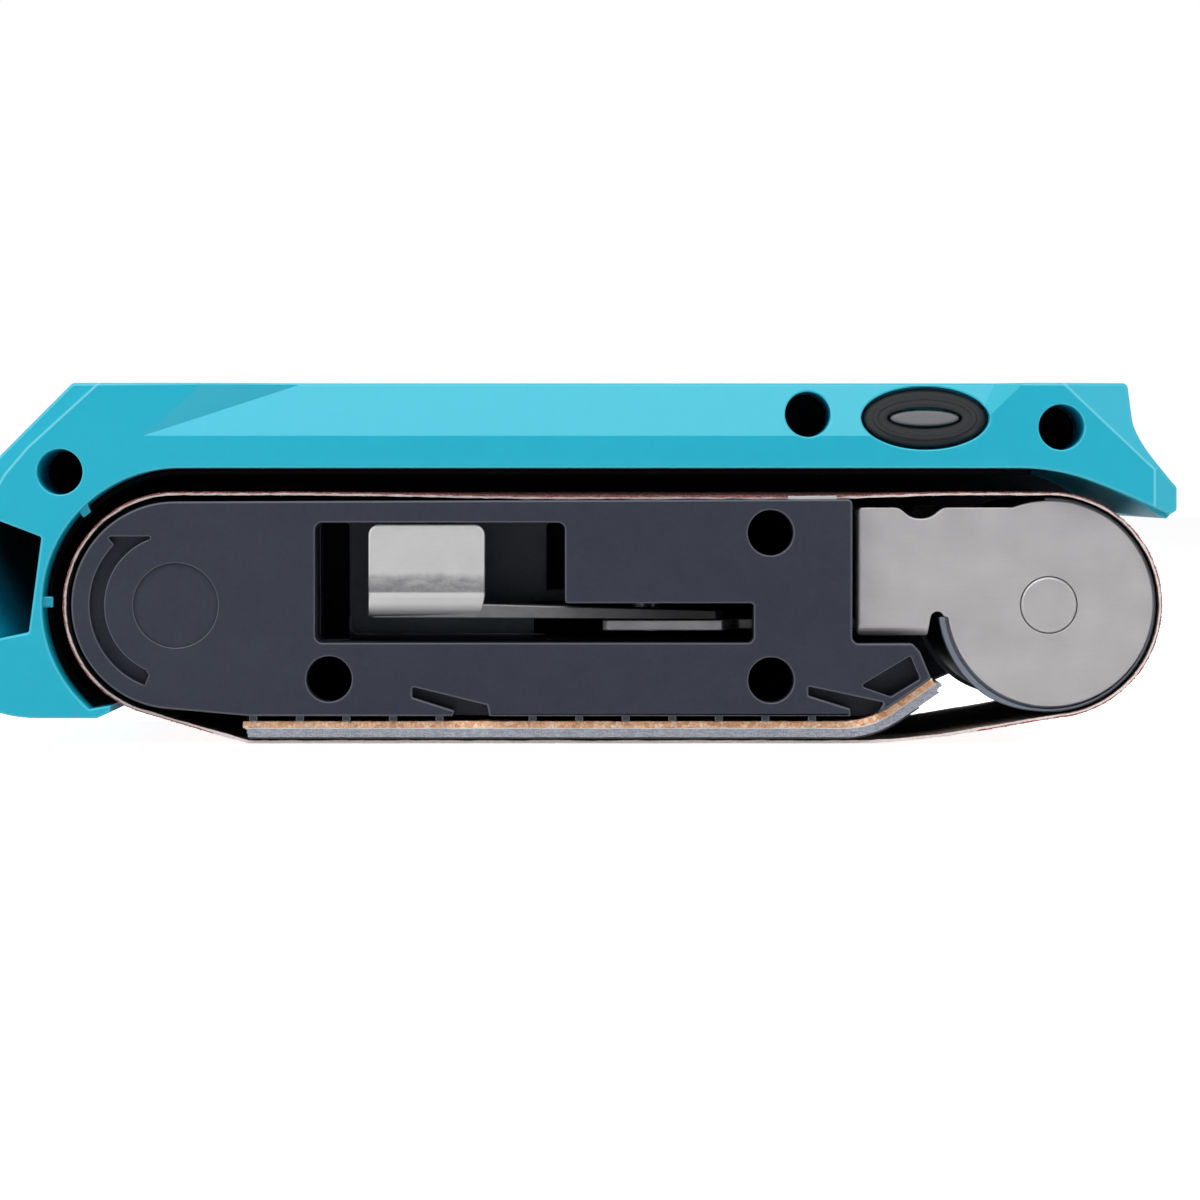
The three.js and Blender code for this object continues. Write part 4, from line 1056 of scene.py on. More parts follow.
def make_rollers():
    near, far = -34.4, 34.4
    idler = [
        (6, near + 7), (9.2, near + 7), (9.2, near + 0.5), (9.8, near), (13.5, near), (13.9, near + 0.8),
        (17.6, near + 0.8), (18.0, near), (18.9, near), (19.75, near + 0.9), (20, 0), (19.75, far - 0.9),
        (18.9, far), (9.8, far), (9.2, far - 0.5), (9.2, far - 7), (6, far - 7)]
    turned("idler_shell", idler, IDLER, TURNED_SHADED, "idler", "clamped_aluminium", ["idler_roller"], 96, 0.25)
    sleeve = [(16.5, near)]
    sleeve += [(19.6, near), (20, near + 0.5)]
    grooves = 8
    for i in range(1, grooves):
        y = near + (36 - near) * i / grooves
        sleeve += [(20, y - 0.5), (19.6, y - 0.25), (19.6, y + 0.25), (20, y + 0.5)]
    sleeve += [(20, 35.5), (19.6, 36), (16.5, 36)]
    turned("drum_tyre", sleeve, DRUM, RUBBER, "drum", "black_rubber", ["drum_sleeve"], 96, 0.15)
    hub = [(5.15, 27), (12.6, 27), (12.6, 35.6), (13.2, 35.6), (16.4, 35.6), (16.4, near + 0.4), (12.6, near + 0.4),
           (12.6, near + 7), (5.15, near + 7)]
    turned("drum_hub", hub, DRUM, GREY, "drum", "grey_plastic", ["drum_core"], 72, 0.3)
    shaft = [(0, -33.8), (3.9, -33.8), (3.9, -27.6), (5, -27.6), (5, 48.9), (4.2, 48.9), (4.2, 63.2), (0, 63.2)]
    turned("drum_axle", shaft, DRUM, GROUND, "drum", "ground_steel", ["drum_shaft"], 48, 0.4)
    axle = [
        (0, -37.25), (4.9, -37.25), (5.2, -36.95), (5.2, -35), (3.95, -35), (3.95, 34.9), (5.2, 34.9), (5.2, 40.5),
        (0, 40.5)]
    turned("idler_pin", axle, IDLER, SHEET, "idler_slide", "brushed_sheet", ["idler_axle"], 64, 0.12)


def make_pulley():
    near, far, teeth = 51.9, 59.6, 24
    shape = []
    for i in range(teeth):
        for radius, part in ((12.4, 0.08), (12.4, 0.42), (11.2, 0.56), (11.2, 0.94)):
            a = 2 * math.pi * (i + part) / teeth
            shape.append((DRUM[0] + radius * math.cos(a), DRUM[1] + radius * math.sin(a), 0.15))
    gear = Casting().block(rounded(shape), near, far, 0.1, None, [Pocket(circle(DRUM, 4.3, 32), None, 0.1)])
    cast("pulley_teeth", gear, TURNED_SHADED, "drum", "clamped_aluminium", ["driven_pulley"])
    for name, y in (("pulley_flange_near", 51.0), ("pulley_flange_far", 59.6)):
        bore = Pocket(circle(DRUM, 4.3, 32), None, 0.2)
        ring = Casting().block(circle(DRUM, 14, 64), y, y + 0.9, 0.25, None, [bore])
        cast(name, ring, TURNED_SHADED, "drum", "clamped_aluminium")


# ---------------------------------------------------------------- front bracket
BRACKET_LEFT, BRACKET_TOP, NECK_BOTTOM = 54.4, 44.0, 20.1
HEAD, HEAD_CENTRE = 19.25, (IDLER[0] + 0.3, IDLER[1] + 0.25)


def cheek_outline():
    meet = math.degrees(math.acos((BRACKET_TOP - HEAD_CENTRE[1]) / HEAD))
    slot = math.degrees(math.asin((23.4 - HEAD_CENTRE[1]) / HEAD))
    shape = [(BRACKET_LEFT, NECK_BOTTOM, 0.8), (67.6, NECK_BOTTOM, 0.3), (68.1, 23.2)]
    shape += arc((69.4, 23.3), 1.25, 180, 20, 20)
    shape += arc(HEAD_CENTRE, HEAD, 180 - slot, 450 + meet, 3)
    shape += [(71.4, BRACKET_TOP)]
    dip = BRACKET_TOP - 2.1
    shape += curve((71.4, BRACKET_TOP), (69.2, BRACKET_TOP), (69.4, dip), (66.3, dip), 8)
    shape += curve((66.3, dip), (63.2, dip), (63.4, BRACKET_TOP), (61.2, BRACKET_TOP), 8)
    shape += [(BRACKET_LEFT, BRACKET_TOP, 1.2)]
    return rounded(shape)


def fold(reach, radius):
    """How far a sheet bent to this radius has dropped back, reach past the start of the bend."""
    reach = min(max(reach, 0), radius * 0.96)
    return radius - math.sqrt(radius * radius - reach * reach)


def swept(profile, centre, start, end, step=4.0):
    """A bar bent round an axis along Y: profile is a closed loop of (radius, y)."""
    bm = bmesh.new()
    rings = []
    count = math.ceil((end - start) / step)
    for i in range(count + 1):
        a = math.radians(start + (end - start) * i / count)
        wide = start + (end - start) * i / count
        wide = 0.55 * min(1.0, max(0.0, (262 - wide) / 26))
        rings.append([bm.verts.new((
            (centre[0] + (r + (wide if r > 19.6 else 0)) * math.cos(a)) * MM, y * MM,
            (centre[1] + (r + (wide if r > 19.6 else 0)) * math.sin(a)) * MM)) for r, y in profile])
    for a, b in zip(rings, rings[1:]):
        for k in range(len(profile)):
            j = (k + 1) % len(profile)
            bm.faces.new((a[k], a[j], b[j], b[k])).smooth = True
    bm.faces.new(rings[0])
    bm.faces.new(rings[-1][::-1])
    return bm


def make_rims():
    """The rolled rim round each cheek's head, standing just outside the plate."""
    for name, side in (("head_rim_near", -1), ("head_rim_far", 1)):
        face = 36.7
        curl = [(18.3, face - 2.2), (18.3, face - 1.2), (19.3, face - 1.2), (19.36, face - 0.2), (19.5, face)]
        curl += [(19.65, face - 0.01)]
        curl += [(19.65 + 0.4 * math.sin(t), face - 0.41 + 0.4 * math.cos(t)) for t in (0.4, 0.8, 1.2, 1.57)]
        curl += [(20.05, 33.8), (19.0, 33.8)]
        profile = [(r, side * y) for r, y in curl]
        # The rims take the darker blue-grey steel: painted shade and painted reflection.
        piece = mesh_of(name, swept(profile, IDLER, 186.5, 452, 3), [RIM_REFLECTION])
        place(piece, "idler_slide", "brushed_sheet")


def make_bracket():
    for name, side in (("bracket_cheek_near", -1), ("bracket_cheek_far", 1)):
        outer, inner = side * 37.0, side * 35.0
        eye = Pocket(circle(IDLER, 5.35, 64), None, 0.2)
        cheek = Casting().block(cheek_outline(), min(outer, inner), max(outer, inner), 0.3, None, [eye])
        for z in (22.4, 22.0, 21.5, 21.0, 20.6, 20.3):
            cheek.split((0, 0, z), (0, 0, 1))
        for x in (55.15, 54.9, 54.65):
            cheek.split((x, 0, 0), (1, 0, 0))

        def bent(x, y, z):
            back = fold(22.4 - z, 2.45) if x < 68.2 else 0
            return x, y - side * max(back, fold(55.15 - x, 0.78)), z

        cheek.shift(bent)
        replaced = ["idler_bracket"] if side < 0 else ()
        cast(name, cheek, SHEET, "idler_slide", "brushed_sheet", replaced)
    holes = [
        Pocket(circle((0, AXLE_Z), 2.75, 24), None, 0.1),
        Pocket(box_loop(-27.6, -18.4, 20.6, 23.4, 0.3), None, 0.1)]
    web = Casting().block(box_loop(-35.6, 35.6, 21.2, 42.6, 0.4), 54.5, 56.4, 0.2, None, holes)
    web.shift(lambda x, y, z: (y, x, z))
    cast("bracket_web", web, SHEET, "idler_slide", "brushed_sheet")
    for name, y0, y1 in (("bracket_flange_near", -35.8, -30), ("bracket_flange_far", 30, 35.8)):
        flange = Casting().block(box_loop(55.2, 67.1, 20.15, 22.05, 0.3), y0, y1, 0.3)
        cast(name, flange, SHEET, "idler_slide", "brushed_sheet")


# ---------------------------------------------------------------- tension lever
LEVER_BOTTOM, LEVER_TOP = 23.4, 25.7
LEVER_PIVOT, CRANK_PIN = (14.0, -27.0), (16.2, -23.2)


def make_lever():
    tab = Casting().block(rounded([
        (-36.7, 23.7, 0.3), (-15.7, 23.7, 0.3), (-14.95, 27.5, 0.6), (-14.9, 40.9, 2.1), (-36.6, 40.9, 2.1),
        (-36.6, 27.0, 0.5)]), -39.4, -37.3, 0.4)
    steps = [(30.2, 0.0), (29.6, 0.10), (29.0, 0.35), (28.4, 0.65), (27.8, 0.9), (27.2, 1.0)]
    for z, _ in steps:
        tab.split((0, 0, z), (0, 0, 1))
    for z in (25.4, 24.8, 24.3):
        tab.split((0, 0, z), (0, 0, 1))

    def joggled(x, y, z):
        back = steps[-1][1] if z < steps[-1][0] else 0.0
        for (high, a), (low, b) in zip(steps, steps[1:]):
            if low <= z <= high:
                back = a + (b - a) * (high - z) / (high - low)
        return x, y + back * 0.9 + fold(25.4 - z, 2.2), z

    tab.shift(joggled)
    cast("lever_tab", tab, SATIN, "lever", "brushed_sheet", ["tension_lever"])

    px, py = LEVER_PIVOT
    shape = [(-36.0, -37.4, 0.6), (-14.5, -38.4), (-8, -38.2), (28.0, -36.6, 1.2), (29.4, -34, 1.0), (29.5, py + 1)]
    shape += arc((21, py), 8.5, 10, 90, 8) + [(9, py + 8.5, 1), (-8, -31, 3), (-36.0, -31, 0.6)]
    holes = [Pocket(circle(LEVER_PIVOT, 1.68, 24), None, 0.1), Pocket(circle(CRANK_PIN, 1.68, 24), None, 0.1)]
    arm = Casting().block(rounded(shape), -LEVER_TOP, -LEVER_BOTTOM, 0.3, None, holes)

    def sloping(x, y, z):
        run = min(1.0, max(0.0, (x + 14) / 40))
        share = (-y - LEVER_BOTTOM) / (LEVER_TOP - LEVER_BOTTOM)
        return x, z, -y + share * (0.3 - 1.2 * run) - (1 - share) * 0.25 * run

    arm.shift(sloping)
    cast("lever_arm", arm, ARM, "lever", "brushed_sheet")

    head = 56.8
    link = [(8, -36, 0.6), (29.3, -36, 0.6), (32, -27, 1.5), (head, -27, 0.3), (head, -29.3, 0.3)]
    link += [(head + 2.5, -29.3, 0.3), (head + 2.5, -16.7, 0.3), (head, -16.7, 0.3), (head, -19, 0.3)]
    link += [(11, -19, 1), (7, -23, 1), (7, -35, 0.6)]
    cx, cy = CRANK_PIN
    yoke = arc((cx, cy + 0.9), 1.95, 0, 180, 15) + arc((cx, cy - 0.9), 1.95, 180, 360, 15)
    plate = Casting().block(rounded(link), -23, -21, 0.25, None, [Pocket(yoke, None, 0.1)])
    plate.shift(lambda x, y, z: (x, z, -y))
    cast("link_plate", plate, LINK, "idler_slide", "brushed_sheet", ["pull_link"])


def make_spring():
    """Coil spring that pushes the front roller forwards. The real spring shortens as the roller is drawn back; this
    one is built at one length.
    """
    turns, steps = 7, 24
    radius, wire = 4.9, 0.75
    start, end = 21.0, 53.4
    line = bpy.data.curves.new("coil_line", "CURVE")
    line.dimensions = "3D"
    line.bevel_depth = wire * MM
    line.bevel_resolution = 3
    line.use_fill_caps = True
    spline = line.splines.new("POLY")
    count = turns * steps
    spline.points.add(count)
    for i, point in enumerate(spline.points):
        a = 2 * math.pi * i / steps
        x = start + (end - start) * i / count
        point.co = (x * MM, radius * math.cos(a) * MM, (AXLE_Z + radius * math.sin(a)) * MM, 1)
    piece = bpy.data.objects.new("coil_spring", line)
    bpy.context.scene.collection.objects.link(piece)
    bpy.context.view_layer.update()
    piece = baked(piece)
    piece.data.materials.clear()
    piece.data.materials.append(ZINC)
    place(piece, "housing", "zinc_steel", ["tension_spring"])
    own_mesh(piece)


# ---------------------------------------------------------------- housing


BEAK_START, BEAK_TIP = (84, 51.3), (112.4, 42.7)
BEAK_EDGE = curve(BEAK_START, (94, 51.3), (99, 48.6), BEAK_TIP, 16)


def beak_height(x):
    """Height of the open face's lower edge over the front roller."""
    points = [BEAK_START, *BEAK_EDGE]
    for (x0, z0), (x1, z1) in zip(points, points[1:]):
        if x0 <= x <= x1:
            return z0 + (z1 - z0) * (x - x0) / (x1 - x0)
    return BEAK_START[1] if x < BEAK_START[0] else BEAK_TIP[1]


def housing_outline(deep, notch):
    shape = [(-91.4, DECK, 1.2), (-110.5, 48, 2.0), (-112, 45.5)]
    if notch:
        shape += [(-112, 44.2), (-97.2, 38.5, 0.5), (-99.6, 20.8, 0.6), (-112, 18.3)]
    shape += [(-112, 12.5)] + curve((-112, 12.5), (-112, 7), (-104, 4.8), (-98, 4.8), 14)
    shape += [(-87, 4.8, 0.8), (-84.6, 5.9, 0.5), (-84.4, 7.2)]
    shape += arc((-71.6, AXLE_Z), TUNNEL_RADIUS, 229, 90, 3)
    if deep:
        shape += arc((87.2, AXLE_Z), TUNNEL_RADIUS, 90, 42, 3) + [(112.4, 41.9, 0.3)]
    else:
        shape += [BEAK_START] + BEAK_EDGE
    shape += [(113.7, 43.4, 0.7), (113.7, 47.7, 0.9)]
    shape += curve((113.2, 48.2), (110.8, 51.1), (105.8, 56.3), (105.3, 60.6), 14) + [(104.6, DECK, 1.0)]
    return rounded(shape)


SHOULDER_Z, SHOULDER_SLOPE = 57.3, 0.42
LEFT_WEDGE = (0.22, -0.2464, 31.34)
RIGHT_WEDGE = (-0.83, 0.86, 12.9)
REAR_LINES = (((-94.0, 59.9), (-0.672, 0.741)), ((-99.4, 55.0), (-0.758, 0.652)), ((-103.7, 50.0), (-0.861, 0.509)))
FRONT_LINES = (((99.95, 59.65), (0.686, 0.727)), ((109.2, 50.0), (1.0, 0.0)))
FRONT_CORNER = (109.2, 50.92)
BEAD, BEAD_SLOPE, REAR_SLOPE, FRONT_SLOPE, DEEPEST_LEAN = 0.45, 0.16, 0.2, 0.36, 6.6


def beyond(line, x, z):
    (px, pz), (nx, nz) = line
    return (x - px) * nx + (z - pz) * nz


def chamfer(distance, slope):
    """A narrow bead that leans a little, then the chamfer itself."""
    return max(0.0, min(distance, BEAD)) * BEAD_SLOPE + max(0.0, distance - BEAD) * slope


def lean(x, z):
    """How far the open face falls back at its shoulder and at the chamfers of its two ends."""
    shoulder = (z - SHOULDER_Z) * SHOULDER_SLOPE
    for a, b, c in (LEFT_WEDGE, RIGHT_WEDGE):
        shoulder = min(shoulder, a * x + b * z + c)
    rear = chamfer(max(beyond(line, x, z) for line in REAR_LINES), REAR_SLOPE)
    front = chamfer(max(beyond(line, x, z) for line in FRONT_LINES), FRONT_SLOPE)
    return min(max(0.0, shoulder, rear, front), DEEPEST_LEAN)


def facet(casting, side, root):
    """Leans the face at side -1 or +1 back; root is the Y where the leaning ends."""
    casting.split((0, 0, SHOULDER_Z), (0, 0, 1))
    for a, b, c in (LEFT_WEDGE, RIGHT_WEDGE):
        for slope, level in ((0, 0), (SHOULDER_SLOPE, SHOULDER_SLOPE * SHOULDER_Z)):
            casting.split((-(c + level + (b - slope) * 60) / a, 0, 60), (a, 0, b - slope))
    for (px, pz), (nx, nz) in (*REAR_LINES, *FRONT_LINES):
        casting.split((px, 0, pz), (nx, 0, nz))
        casting.split((px + nx * BEAD, 0, pz + nz * BEAD), (nx, 0, nz))
    for lines in (REAR_LINES, FRONT_LINES):
        for first, second in zip(lines, lines[1:]):
            across = (first[1][0] - second[1][0], 0, first[1][1] - second[1][1])
            corner = second[0] if lines is REAR_LINES else FRONT_CORNER
            casting.split((corner[0], 0, corner[1]), across)
    face = side * HOUSING_FAR
    # Faces of the narrow bead along the chamfers take the paler teal, a painted highlight.
    for flat in casting.bm.faces:
        middle = flat.calc_center_median() / MM
        if middle.y * side > 40.4:
            near = [max(beyond(line, middle.x, middle.z) for line in lines) for lines in (REAR_LINES, FRONT_LINES)]
            flat.material_index = 1 if any(0 < d < BEAD for d in near) else 0
    return casting.shift(lambda x, y, z: (x, y - side * lean(x, z) * max(0, (y - root) / (face - root)), z))


BUMPER_CENTRE = (66.9, 60.6)


def oval(a, b, count=64):
    turns = [2 * math.pi * i / count for i in range(count)]
    return [(BUMPER_CENTRE[0] + a * math.cos(t), BUMPER_CENTRE[1] + b * math.sin(t)) for t in turns]


def make_housing():
    wells = [Pocket(circle(spot, ACCESS_RADIUS), None, 0.3, (), 0) for spot in HOUSING_SCREWS]
    face = Casting().block(
        housing_outline(False, True), HOUSING_NEAR, MOUTH, 0.5, 0, [*wells, Pocket(oval(11.9, 5.9), -34.3, 0.3)])
    facet(face, -1, MOUTH)
    cast("housing_face", face, [TEAL, TEAL_HIGHLIGHT], "housing", "teal_nylon", ["housing_near"])

    deck = cutter("deck_tool", Casting().block(box_loop(-44, 24, -24, 28, 3), -80, -54.3, 0), "z")
    duct = cutter("duct_tool", Casting().block(circle((18, 31), 11, 64), -120, -94, 0), "x")
    bosses = [
        cutter(f"boss_tool_{i}", Casting().block(circle(spot, 1.7, 24), -80, -57, 0), "z")
        for i, spot in enumerate([(-66, -30), (34, -30), (-66, 33), (34, 33)])]

    pocket_floor = -6.0
    wells = [Pocket(circle(spot, ACCESS_RADIUS), -22, 0) for spot in HOUSING_SCREWS]
    body = Casting().block(housing_outline(True, True), MOUTH, pocket_floor, 0, 0, wells)

    tunnel_line, tunnel_reach = (IDLER, (0.3, 0.95)), 27

    def flared(x, y, z):
        at_beak = y < MOUTH + 0.01 and 87 < x < 112 and z < BEAK_START[1] + 0.1
        if at_beak and beyond(tunnel_line, x, z) < tunnel_reach:
            return x, y, max(z, min(beak_height(x), BEAK_START[1]))
        return x, y, z

    body.shift(flared)
    cast("housing_body_near", body, TEAL, "housing", "teal_nylon", (), [deck, *bosses[:2]])
    rest = Casting().block(housing_outline(True, False), pocket_floor, PARTING - 0.06, 0, 0.2)
    cast("housing_seam_side", rest, TEAL, "housing", "teal_nylon", (), [deck])
    far = Casting().block(housing_outline(True, False), PARTING + 0.06, 34.5, 0.2, 0)
    cast("housing_body_far", far, TEAL, "housing", "teal_nylon", ["housing_far"], [deck, duct, *bosses[2:]])
    back = Casting().block(housing_outline(True, False), 34.5, HOUSING_FAR, 0, 0.5)
    cast("housing_back_edge", back, TEAL, "housing", "teal_nylon")
    middle_x, outside, inside = DRUM[0] + 0.9, TUNNEL_RADIUS - 0.3, TUNNEL_RADIUS - 1.2
    end_x = IDLER[0] - 3
    sheet = arc((middle_x, AXLE_Z), outside, 226, 90, 3) + [(end_x, AXLE_Z + outside), (end_x, AXLE_Z + inside)]
    sheet += arc((middle_x, AXLE_Z), inside, 90, 226, 3)
    lining = Casting().block(sheet, HOUSING_NEAR + 8, HOUSING_FAR - 0.4, 0.2)
    cast("tunnel_lining", lining, LINER, "housing", "black_liner", ["tunnel_liner"], [duct])
    drop(deck, duct, *bosses)

    for name, loop in (
        ("tunnel_stop_upper", [(-91.2, 44.4), (-89.6, 42.1), (-88.2, 43.2), (-89.4, 45.8)]),
        ("tunnel_stop_rear", [(-97.8, 25.4), (-95.3, 25.4), (-95.3, 27.4), (-97.8, 27.4)]),
    ):
        stop = Casting().block(rounded([(*p, 0.2) for p in loop]), HOUSING_NEAR + 1.8, HOUSING_NEAR + 3.4, 0.3)
        cast(name, stop, TEAL, "housing", "teal_nylon")

    back = Casting().block(
        [(-111.9, 44.0), (-111.9, 18.4), (-99.7, 20.9), (-97.3, 38.4)], pocket_floor - 0.5, pocket_floor - 0.05, 0)
    for x in (-110, -108, -106, -104, -102, -100):
        back.split((x, 0, 0), (1, 0, 0))
    for z in (23, 27, 31, 35, 39):
        back.split((0, 0, z), (0, 0, 1))

    def ramped(x, y, z):
        rise = min(1.0, max(0.0, (-98 - x) / 14 * 0.8 + (42 - z) / 22 * 0.75 - 0.30))
        return x, y - 30 * rise ** 1.4 if y < pocket_floor - 0.3 else y, z

    back.shift(ramped)
    for flat in back.bm.faces:
        flat.smooth = True
    cast("pocket_back", back, RECESS, "housing", "teal_nylon")

    def leaned(x, y, z):
        return x, y + (z - SHOULDER_Z) * 0.45 * max(0, (-34.4 - y) / 6) if z > SHOULDER_Z else y, z

    inner = Pocket(oval(7.0, 2.0), None, 0.7, (), 0)
    ring = Casting().block(oval(11.4, 5.4), HOUSING_NEAR + 0.7, -34.4, 1.1, 0, [inner])
    ring.shift(leaned)
    cast("bumper_loop", ring, RUBBER, "housing", "black_rubber", ["bumper_ring"])
    inner = Pocket(oval(8.7, 3.4), None, 0.35, (), 0)
    ridge = Casting().block(oval(9.7, 4.2), HOUSING_NEAR + 0.35, -34.4, 0.35, 0, [inner])
    ridge.shift(leaned)
    cast("bumper_ridge", ridge, RUBBER, "housing", "black_rubber")
    core = Casting().block(oval(6.4, 1.45), HOUSING_NEAR + 1.6, -34.4, 0.5, 0)
    core.shift(leaned)
    cast("bumper_core", core, GREY, "housing", "grey_plastic", ["bumper_insert"])


# ---------------------------------------------------------------- far side


def make_far_side():
    outline = arc((-96, 16), 9, 180, 270, 8)
    outline += [(71, 7, 3), (80, 11, 2), (80, 40.5, 3), (104, 40.5, 2), (104, 60, 3)]
    outline = rounded(outline + arc((-98, 53), 7, 90, 180, 8))
    holes = [Pocket(circle(spot, 2.3, 24), None, 0.2) for spot in [*FRAME_SCREWS]]
    holes += [Pocket(circle(DRUM, 9.4, 64), None, 0.3)]
    side = Casting().block(outline, SIDE_NEAR, SIDE_FAR, 0.6, None, holes)
    cast("side_cover", side, CHARCOAL, "housing", "charcoal_plastic", ["side_plate"])
    bore = Pocket(circle(DRUM, 9.45, 64), None, 0.3)
    seat = Casting().block(circle(DRUM, 12.5, 72), SIDE_FAR - 0.1, 49.9, 0.4, None, [bore])
    cast("bearing_seat", seat, CHARCOAL, "housing", "charcoal_plastic")

    foot = Casting().block(box_loop(-104, -41, 9, 58.5, 8), SIDE_FAR + 0.2, SIDE_FAR + 3.4, 0.6, 0.6,
                           [Pocket(box_loop(DRUM[0] - 19, DRUM[0] + 19, 11.4, 56.1, 7), None, 0.1)])
    cast("cover_foot", foot, CHARCOAL, "housing", "charcoal_plastic", ["drive_cover"])
    room = box_loop(DRUM[0] - 19, DRUM[0] + 19, 11.4, 56.1, 7)
    hollow = cutter("hollow_tool", Casting().block(room, 40, 64.1, 0))
    mouth = cutter("mouth_tool", Casting().block(box_loop(DRUM[0] - 15, DRUM[0] + 15, 50, 62, 1), 50.5, 61, 0))
    hood = Casting().block(box_loop(DRUM[0] - 21.4, DRUM[0] + 21.4, 9, 58.5, 8), SIDE_FAR + 3.4, 66.5, 0, 2.0)
    cast("cover_hood", hood, CHARCOAL, "housing", "charcoal_plastic", (), [hollow, mouth])
    drop(hollow, mouth)
    bar = Casting().block(box_loop(-16, 16, -1.3, 1.3, 1.2), -0.4, 1.1, 0.5)
    master = mesh_of("bar_master", bar.bm, [])
    spots = [((DRUM[0], 66.5, z + 1.3), (0, 0, 0), (1, 1, 1)) for z in (14, 22, 30, 38, 46)]
    place(repeated("cover_ribs", master, spots, CHARCOAL), "housing", "charcoal_plastic")
    drop(master)

    nozzle = [
        (11, -128), (12.6, -128), (13.2, -127.4), (13.2, -115.1), (15.5, -115.1), (15.5, -112.1), (11, -112.1)]
    turned("nozzle_tube", nozzle, (18, 31), CHARCOAL, "housing", "charcoal_plastic", ["dust_nozzle"], 72, 0.3, "x")


# ---------------------------------------------------------------- screws


def screw_master(head_radius, shank_radius, length):
    """Pan-head screw with a six-lobed recess, head outwards to -Y, its top at the origin."""
    lobes = []
    for i in range(48):
        a = 2 * math.pi * i / 48
        r = 1.35 + 0.22 * math.cos(6 * a)
        lobes.append((r * math.cos(a), r * math.sin(a)))
    head = Casting().block(circle((0, 0), head_radius, 40), 0, 2.4, 0.7, 0.1, [Pocket(lobes, 1.6, 0.12)])
    shank = Casting().block(circle((0, 0), shank_radius, 20), 2.4, length, 0, 0.5)
    made = mesh_of("screw_head_master", head.bm, [], head.creases)
    tail = mesh_of("screw_tail_master", shank.bm, [])
    joined = bmesh.new()
    joined.from_mesh(made.data)
    joined.from_mesh(tail.data)
    drop(made, tail)
    mesh = bpy.data.meshes.new("screw_master")
    joined.to_mesh(mesh)
    joined.free()
    screw = bpy.data.objects.new("screw_master", mesh)
    bpy.context.scene.collection.objects.link(screw)
    return screw


def make_screws():
    rows = (
        ("frame_screws", FRAME_SCREWS, 19.0, 1, (3.9, 2.0, 25), "frame_screw_", BLACK_OXIDE),
        ("housing_screws", HOUSING_SCREWS, -24.5, 1, (3.9, 1.8, 36), "housing_screw_", BLACK_OXIDE),
        ("side_screws", SIDE_SCREWS, SIDE_FAR + 2.5, -1, (3.5, 1.6, 15), "side_screw_", ZINC),
        ("cover_screws", COVER_SCREWS, SIDE_FAR + 5.9, -1, (3.5, 1.6, 9), "cover_screw_", ZINC),
    )
    for name, spots, y, way, sizes, stem, material in rows:
        master = screw_master(*sizes)
        turn = (0, 0, 0 if way > 0 else math.pi)
        placed = [((x, y, z), (0, RNG.uniform(0, 1), turn[2]), (1, 1, 1)) for x, z in spots]
        screws = repeated(name, master, placed, material)
        place(screws, "housing", "zinc_steel", [f"{stem}{i + 1}" for i in range(len(spots))])
        drop(master)


# ---------------------------------------------------------------- finishes of the plain pieces

FINISHES = {
    "teal_nylon": TEAL, "charcoal_plastic": CHARCOAL, "black_liner": LINER,
    "brushed_sheet": SHEET, "zinc_steel": ZINC,
    "ground_steel": GROUND, "black_rubber": RUBBER, "grey_plastic": GREY, "cork": CORK, "grey_felt": FELT,
    "graphite_cloth": GLIDE, "abrasive_cloth": GRIT, "clamped_aluminium": TURNED_SHADED,
}


def finish_nodes():
    slots = {row["node"]: row["material_slot"] for row in frame["record"]["subparts"]}
    for name, node in frame["nodes"].items():
        node.data.materials.clear()
        node.data.materials.append(FINISHES[slots[name]])


# ---------------------------------------------------------------- stage, light and camera


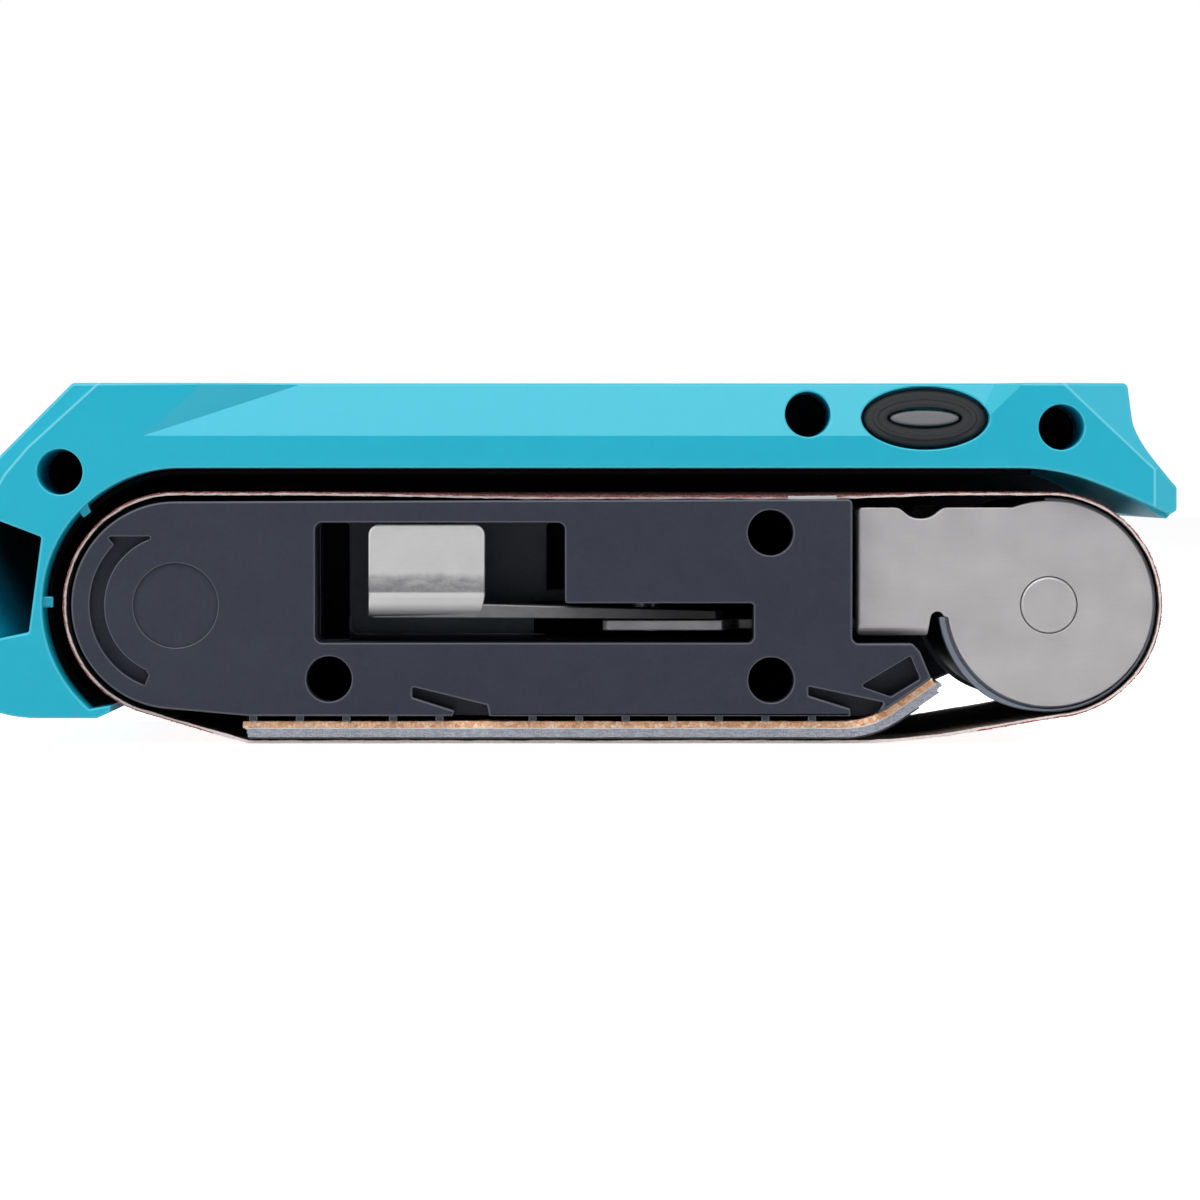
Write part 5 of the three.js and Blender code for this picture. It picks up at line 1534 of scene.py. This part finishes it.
def make_stage():
    size, segments = 6.0, 64
    mesh = bpy.data.meshes.new("floor")
    bm = bmesh.new()
    bmesh.ops.create_circle(bm, cap_ends=True, segments=segments, radius=size)
    for v in bm.verts:
        v.co.z = -0.0002
    bm.to_mesh(mesh)
    bm.free()
    p = Paint("pale_floor")
    tone = p.noise(300, 2)
    shader = p.node("ShaderNodeBsdfDiffuse")
    p.feed(shader.inputs["Color"], p.mix(tone, (0.90, 0.90, 0.90), (0.93, 0.93, 0.93)))
    ray = p.node("ShaderNodeLightPath")
    dim = p.node("ShaderNodeEmission", Color=(1, 1, 1, 1), Strength=0.14)
    clear = p.node("ShaderNodeEmission", Color=(1, 1, 1, 1), Strength=0.93)
    glow = p.node("ShaderNodeMixShader")
    p.feed(glow.inputs[0], ray.outputs["Is Camera Ray"])
    p.feed(glow.inputs[1], dim.outputs[0])
    p.feed(glow.inputs[2], clear.outputs[0])
    both = p.node("ShaderNodeAddShader")
    p.feed(both.inputs[0], shader.outputs[0])
    p.feed(both.inputs[1], glow.outputs[0])
    p.node("ShaderNodeOutputMaterial", Surface=both.outputs[0])
    mesh.materials.append(p.material)
    floor = bpy.data.objects.new("floor", mesh)
    bpy.context.scene.collection.objects.link(floor)

    world = bpy.data.worlds.new("studio")
    bpy.context.scene.world = world
    world.use_nodes = True
    tree = world.node_tree
    tree.nodes.clear()
    soft = tree.nodes.new("ShaderNodeBackground")
    soft.inputs["Color"].default_value = (0.92, 0.96, 1.0, 1)
    soft.inputs["Strength"].default_value = 0.04
    seen = tree.nodes.new("ShaderNodeBackground")
    seen.inputs["Strength"].default_value = 1.0
    seen.inputs["Color"].default_value = (1, 1, 1, 1)
    ray = tree.nodes.new("ShaderNodeLightPath")
    blend = tree.nodes.new("ShaderNodeMixShader")
    out = tree.nodes.new("ShaderNodeOutputWorld")
    tree.links.new(ray.outputs["Is Camera Ray"], blend.inputs["Fac"])
    tree.links.new(soft.outputs[0], blend.inputs[1])
    tree.links.new(seen.outputs[0], blend.inputs[2])
    tree.links.new(blend.outputs[0], out.inputs["Surface"])


def softbox(name, spot, aim, size, power, colour=(1, 1, 1)):
    lamp = bpy.data.lights.new(name, "AREA")
    lamp.shape = "RECTANGLE"
    lamp.size, lamp.size_y = size
    lamp.energy = power
    lamp.color = colour
    light = bpy.data.objects.new(name, lamp)
    light.location = spot
    light.rotation_euler = (Vector(aim) - Vector(spot)).to_track_quat("-Z", "Y").to_euler()
    bpy.context.scene.collection.objects.link(light)


def make_lights():
    softbox("key_top", (-0.1, -0.55, 1.0), (0, 0, 0.03), (1.3, 0.5), 9.8)
    softbox("side_rear", (-1.05, -0.7, 0.62), (0, 0, 0.03), (0.5, 0.8), 6.0)
    softbox("side_front", (1.05, -0.7, 0.62), (0, 0, 0.03), (0.5, 0.8), 4.2)
    softbox("behind", (0.2, 1.1, 0.9), (0, 0, 0.03), (1.2, 0.7), 7)


def make_camera():
    data = bpy.data.cameras.new("camera")
    data.sensor_width = 36
    distance, width = 0.880, 0.223
    data.lens = 36 * distance / width
    data.clip_start, data.clip_end = 0.01, 20
    camera = bpy.data.objects.new("camera", data)
    target = Vector((0.0065, -0.040, 0.0268))
    rise = math.radians(1.4)
    camera.location = target + Vector((0, -math.cos(rise), math.sin(rise))) * distance
    camera.rotation_euler = (target - camera.location).to_track_quat("-Z", "Y").to_euler()
    bpy.context.scene.collection.objects.link(camera)
    bpy.context.scene.camera = camera
    bpy.context.scene.view_settings.view_transform = "Standard"


make_camera()
make_lights()
make_stage()
finish_nodes()
make_frame()
make_ribs()
make_shoe()
make_belt()
make_rollers()
make_pulley()
make_bracket()
make_rims()
make_lever()
make_spring()
make_housing()
make_far_side()
make_screws()
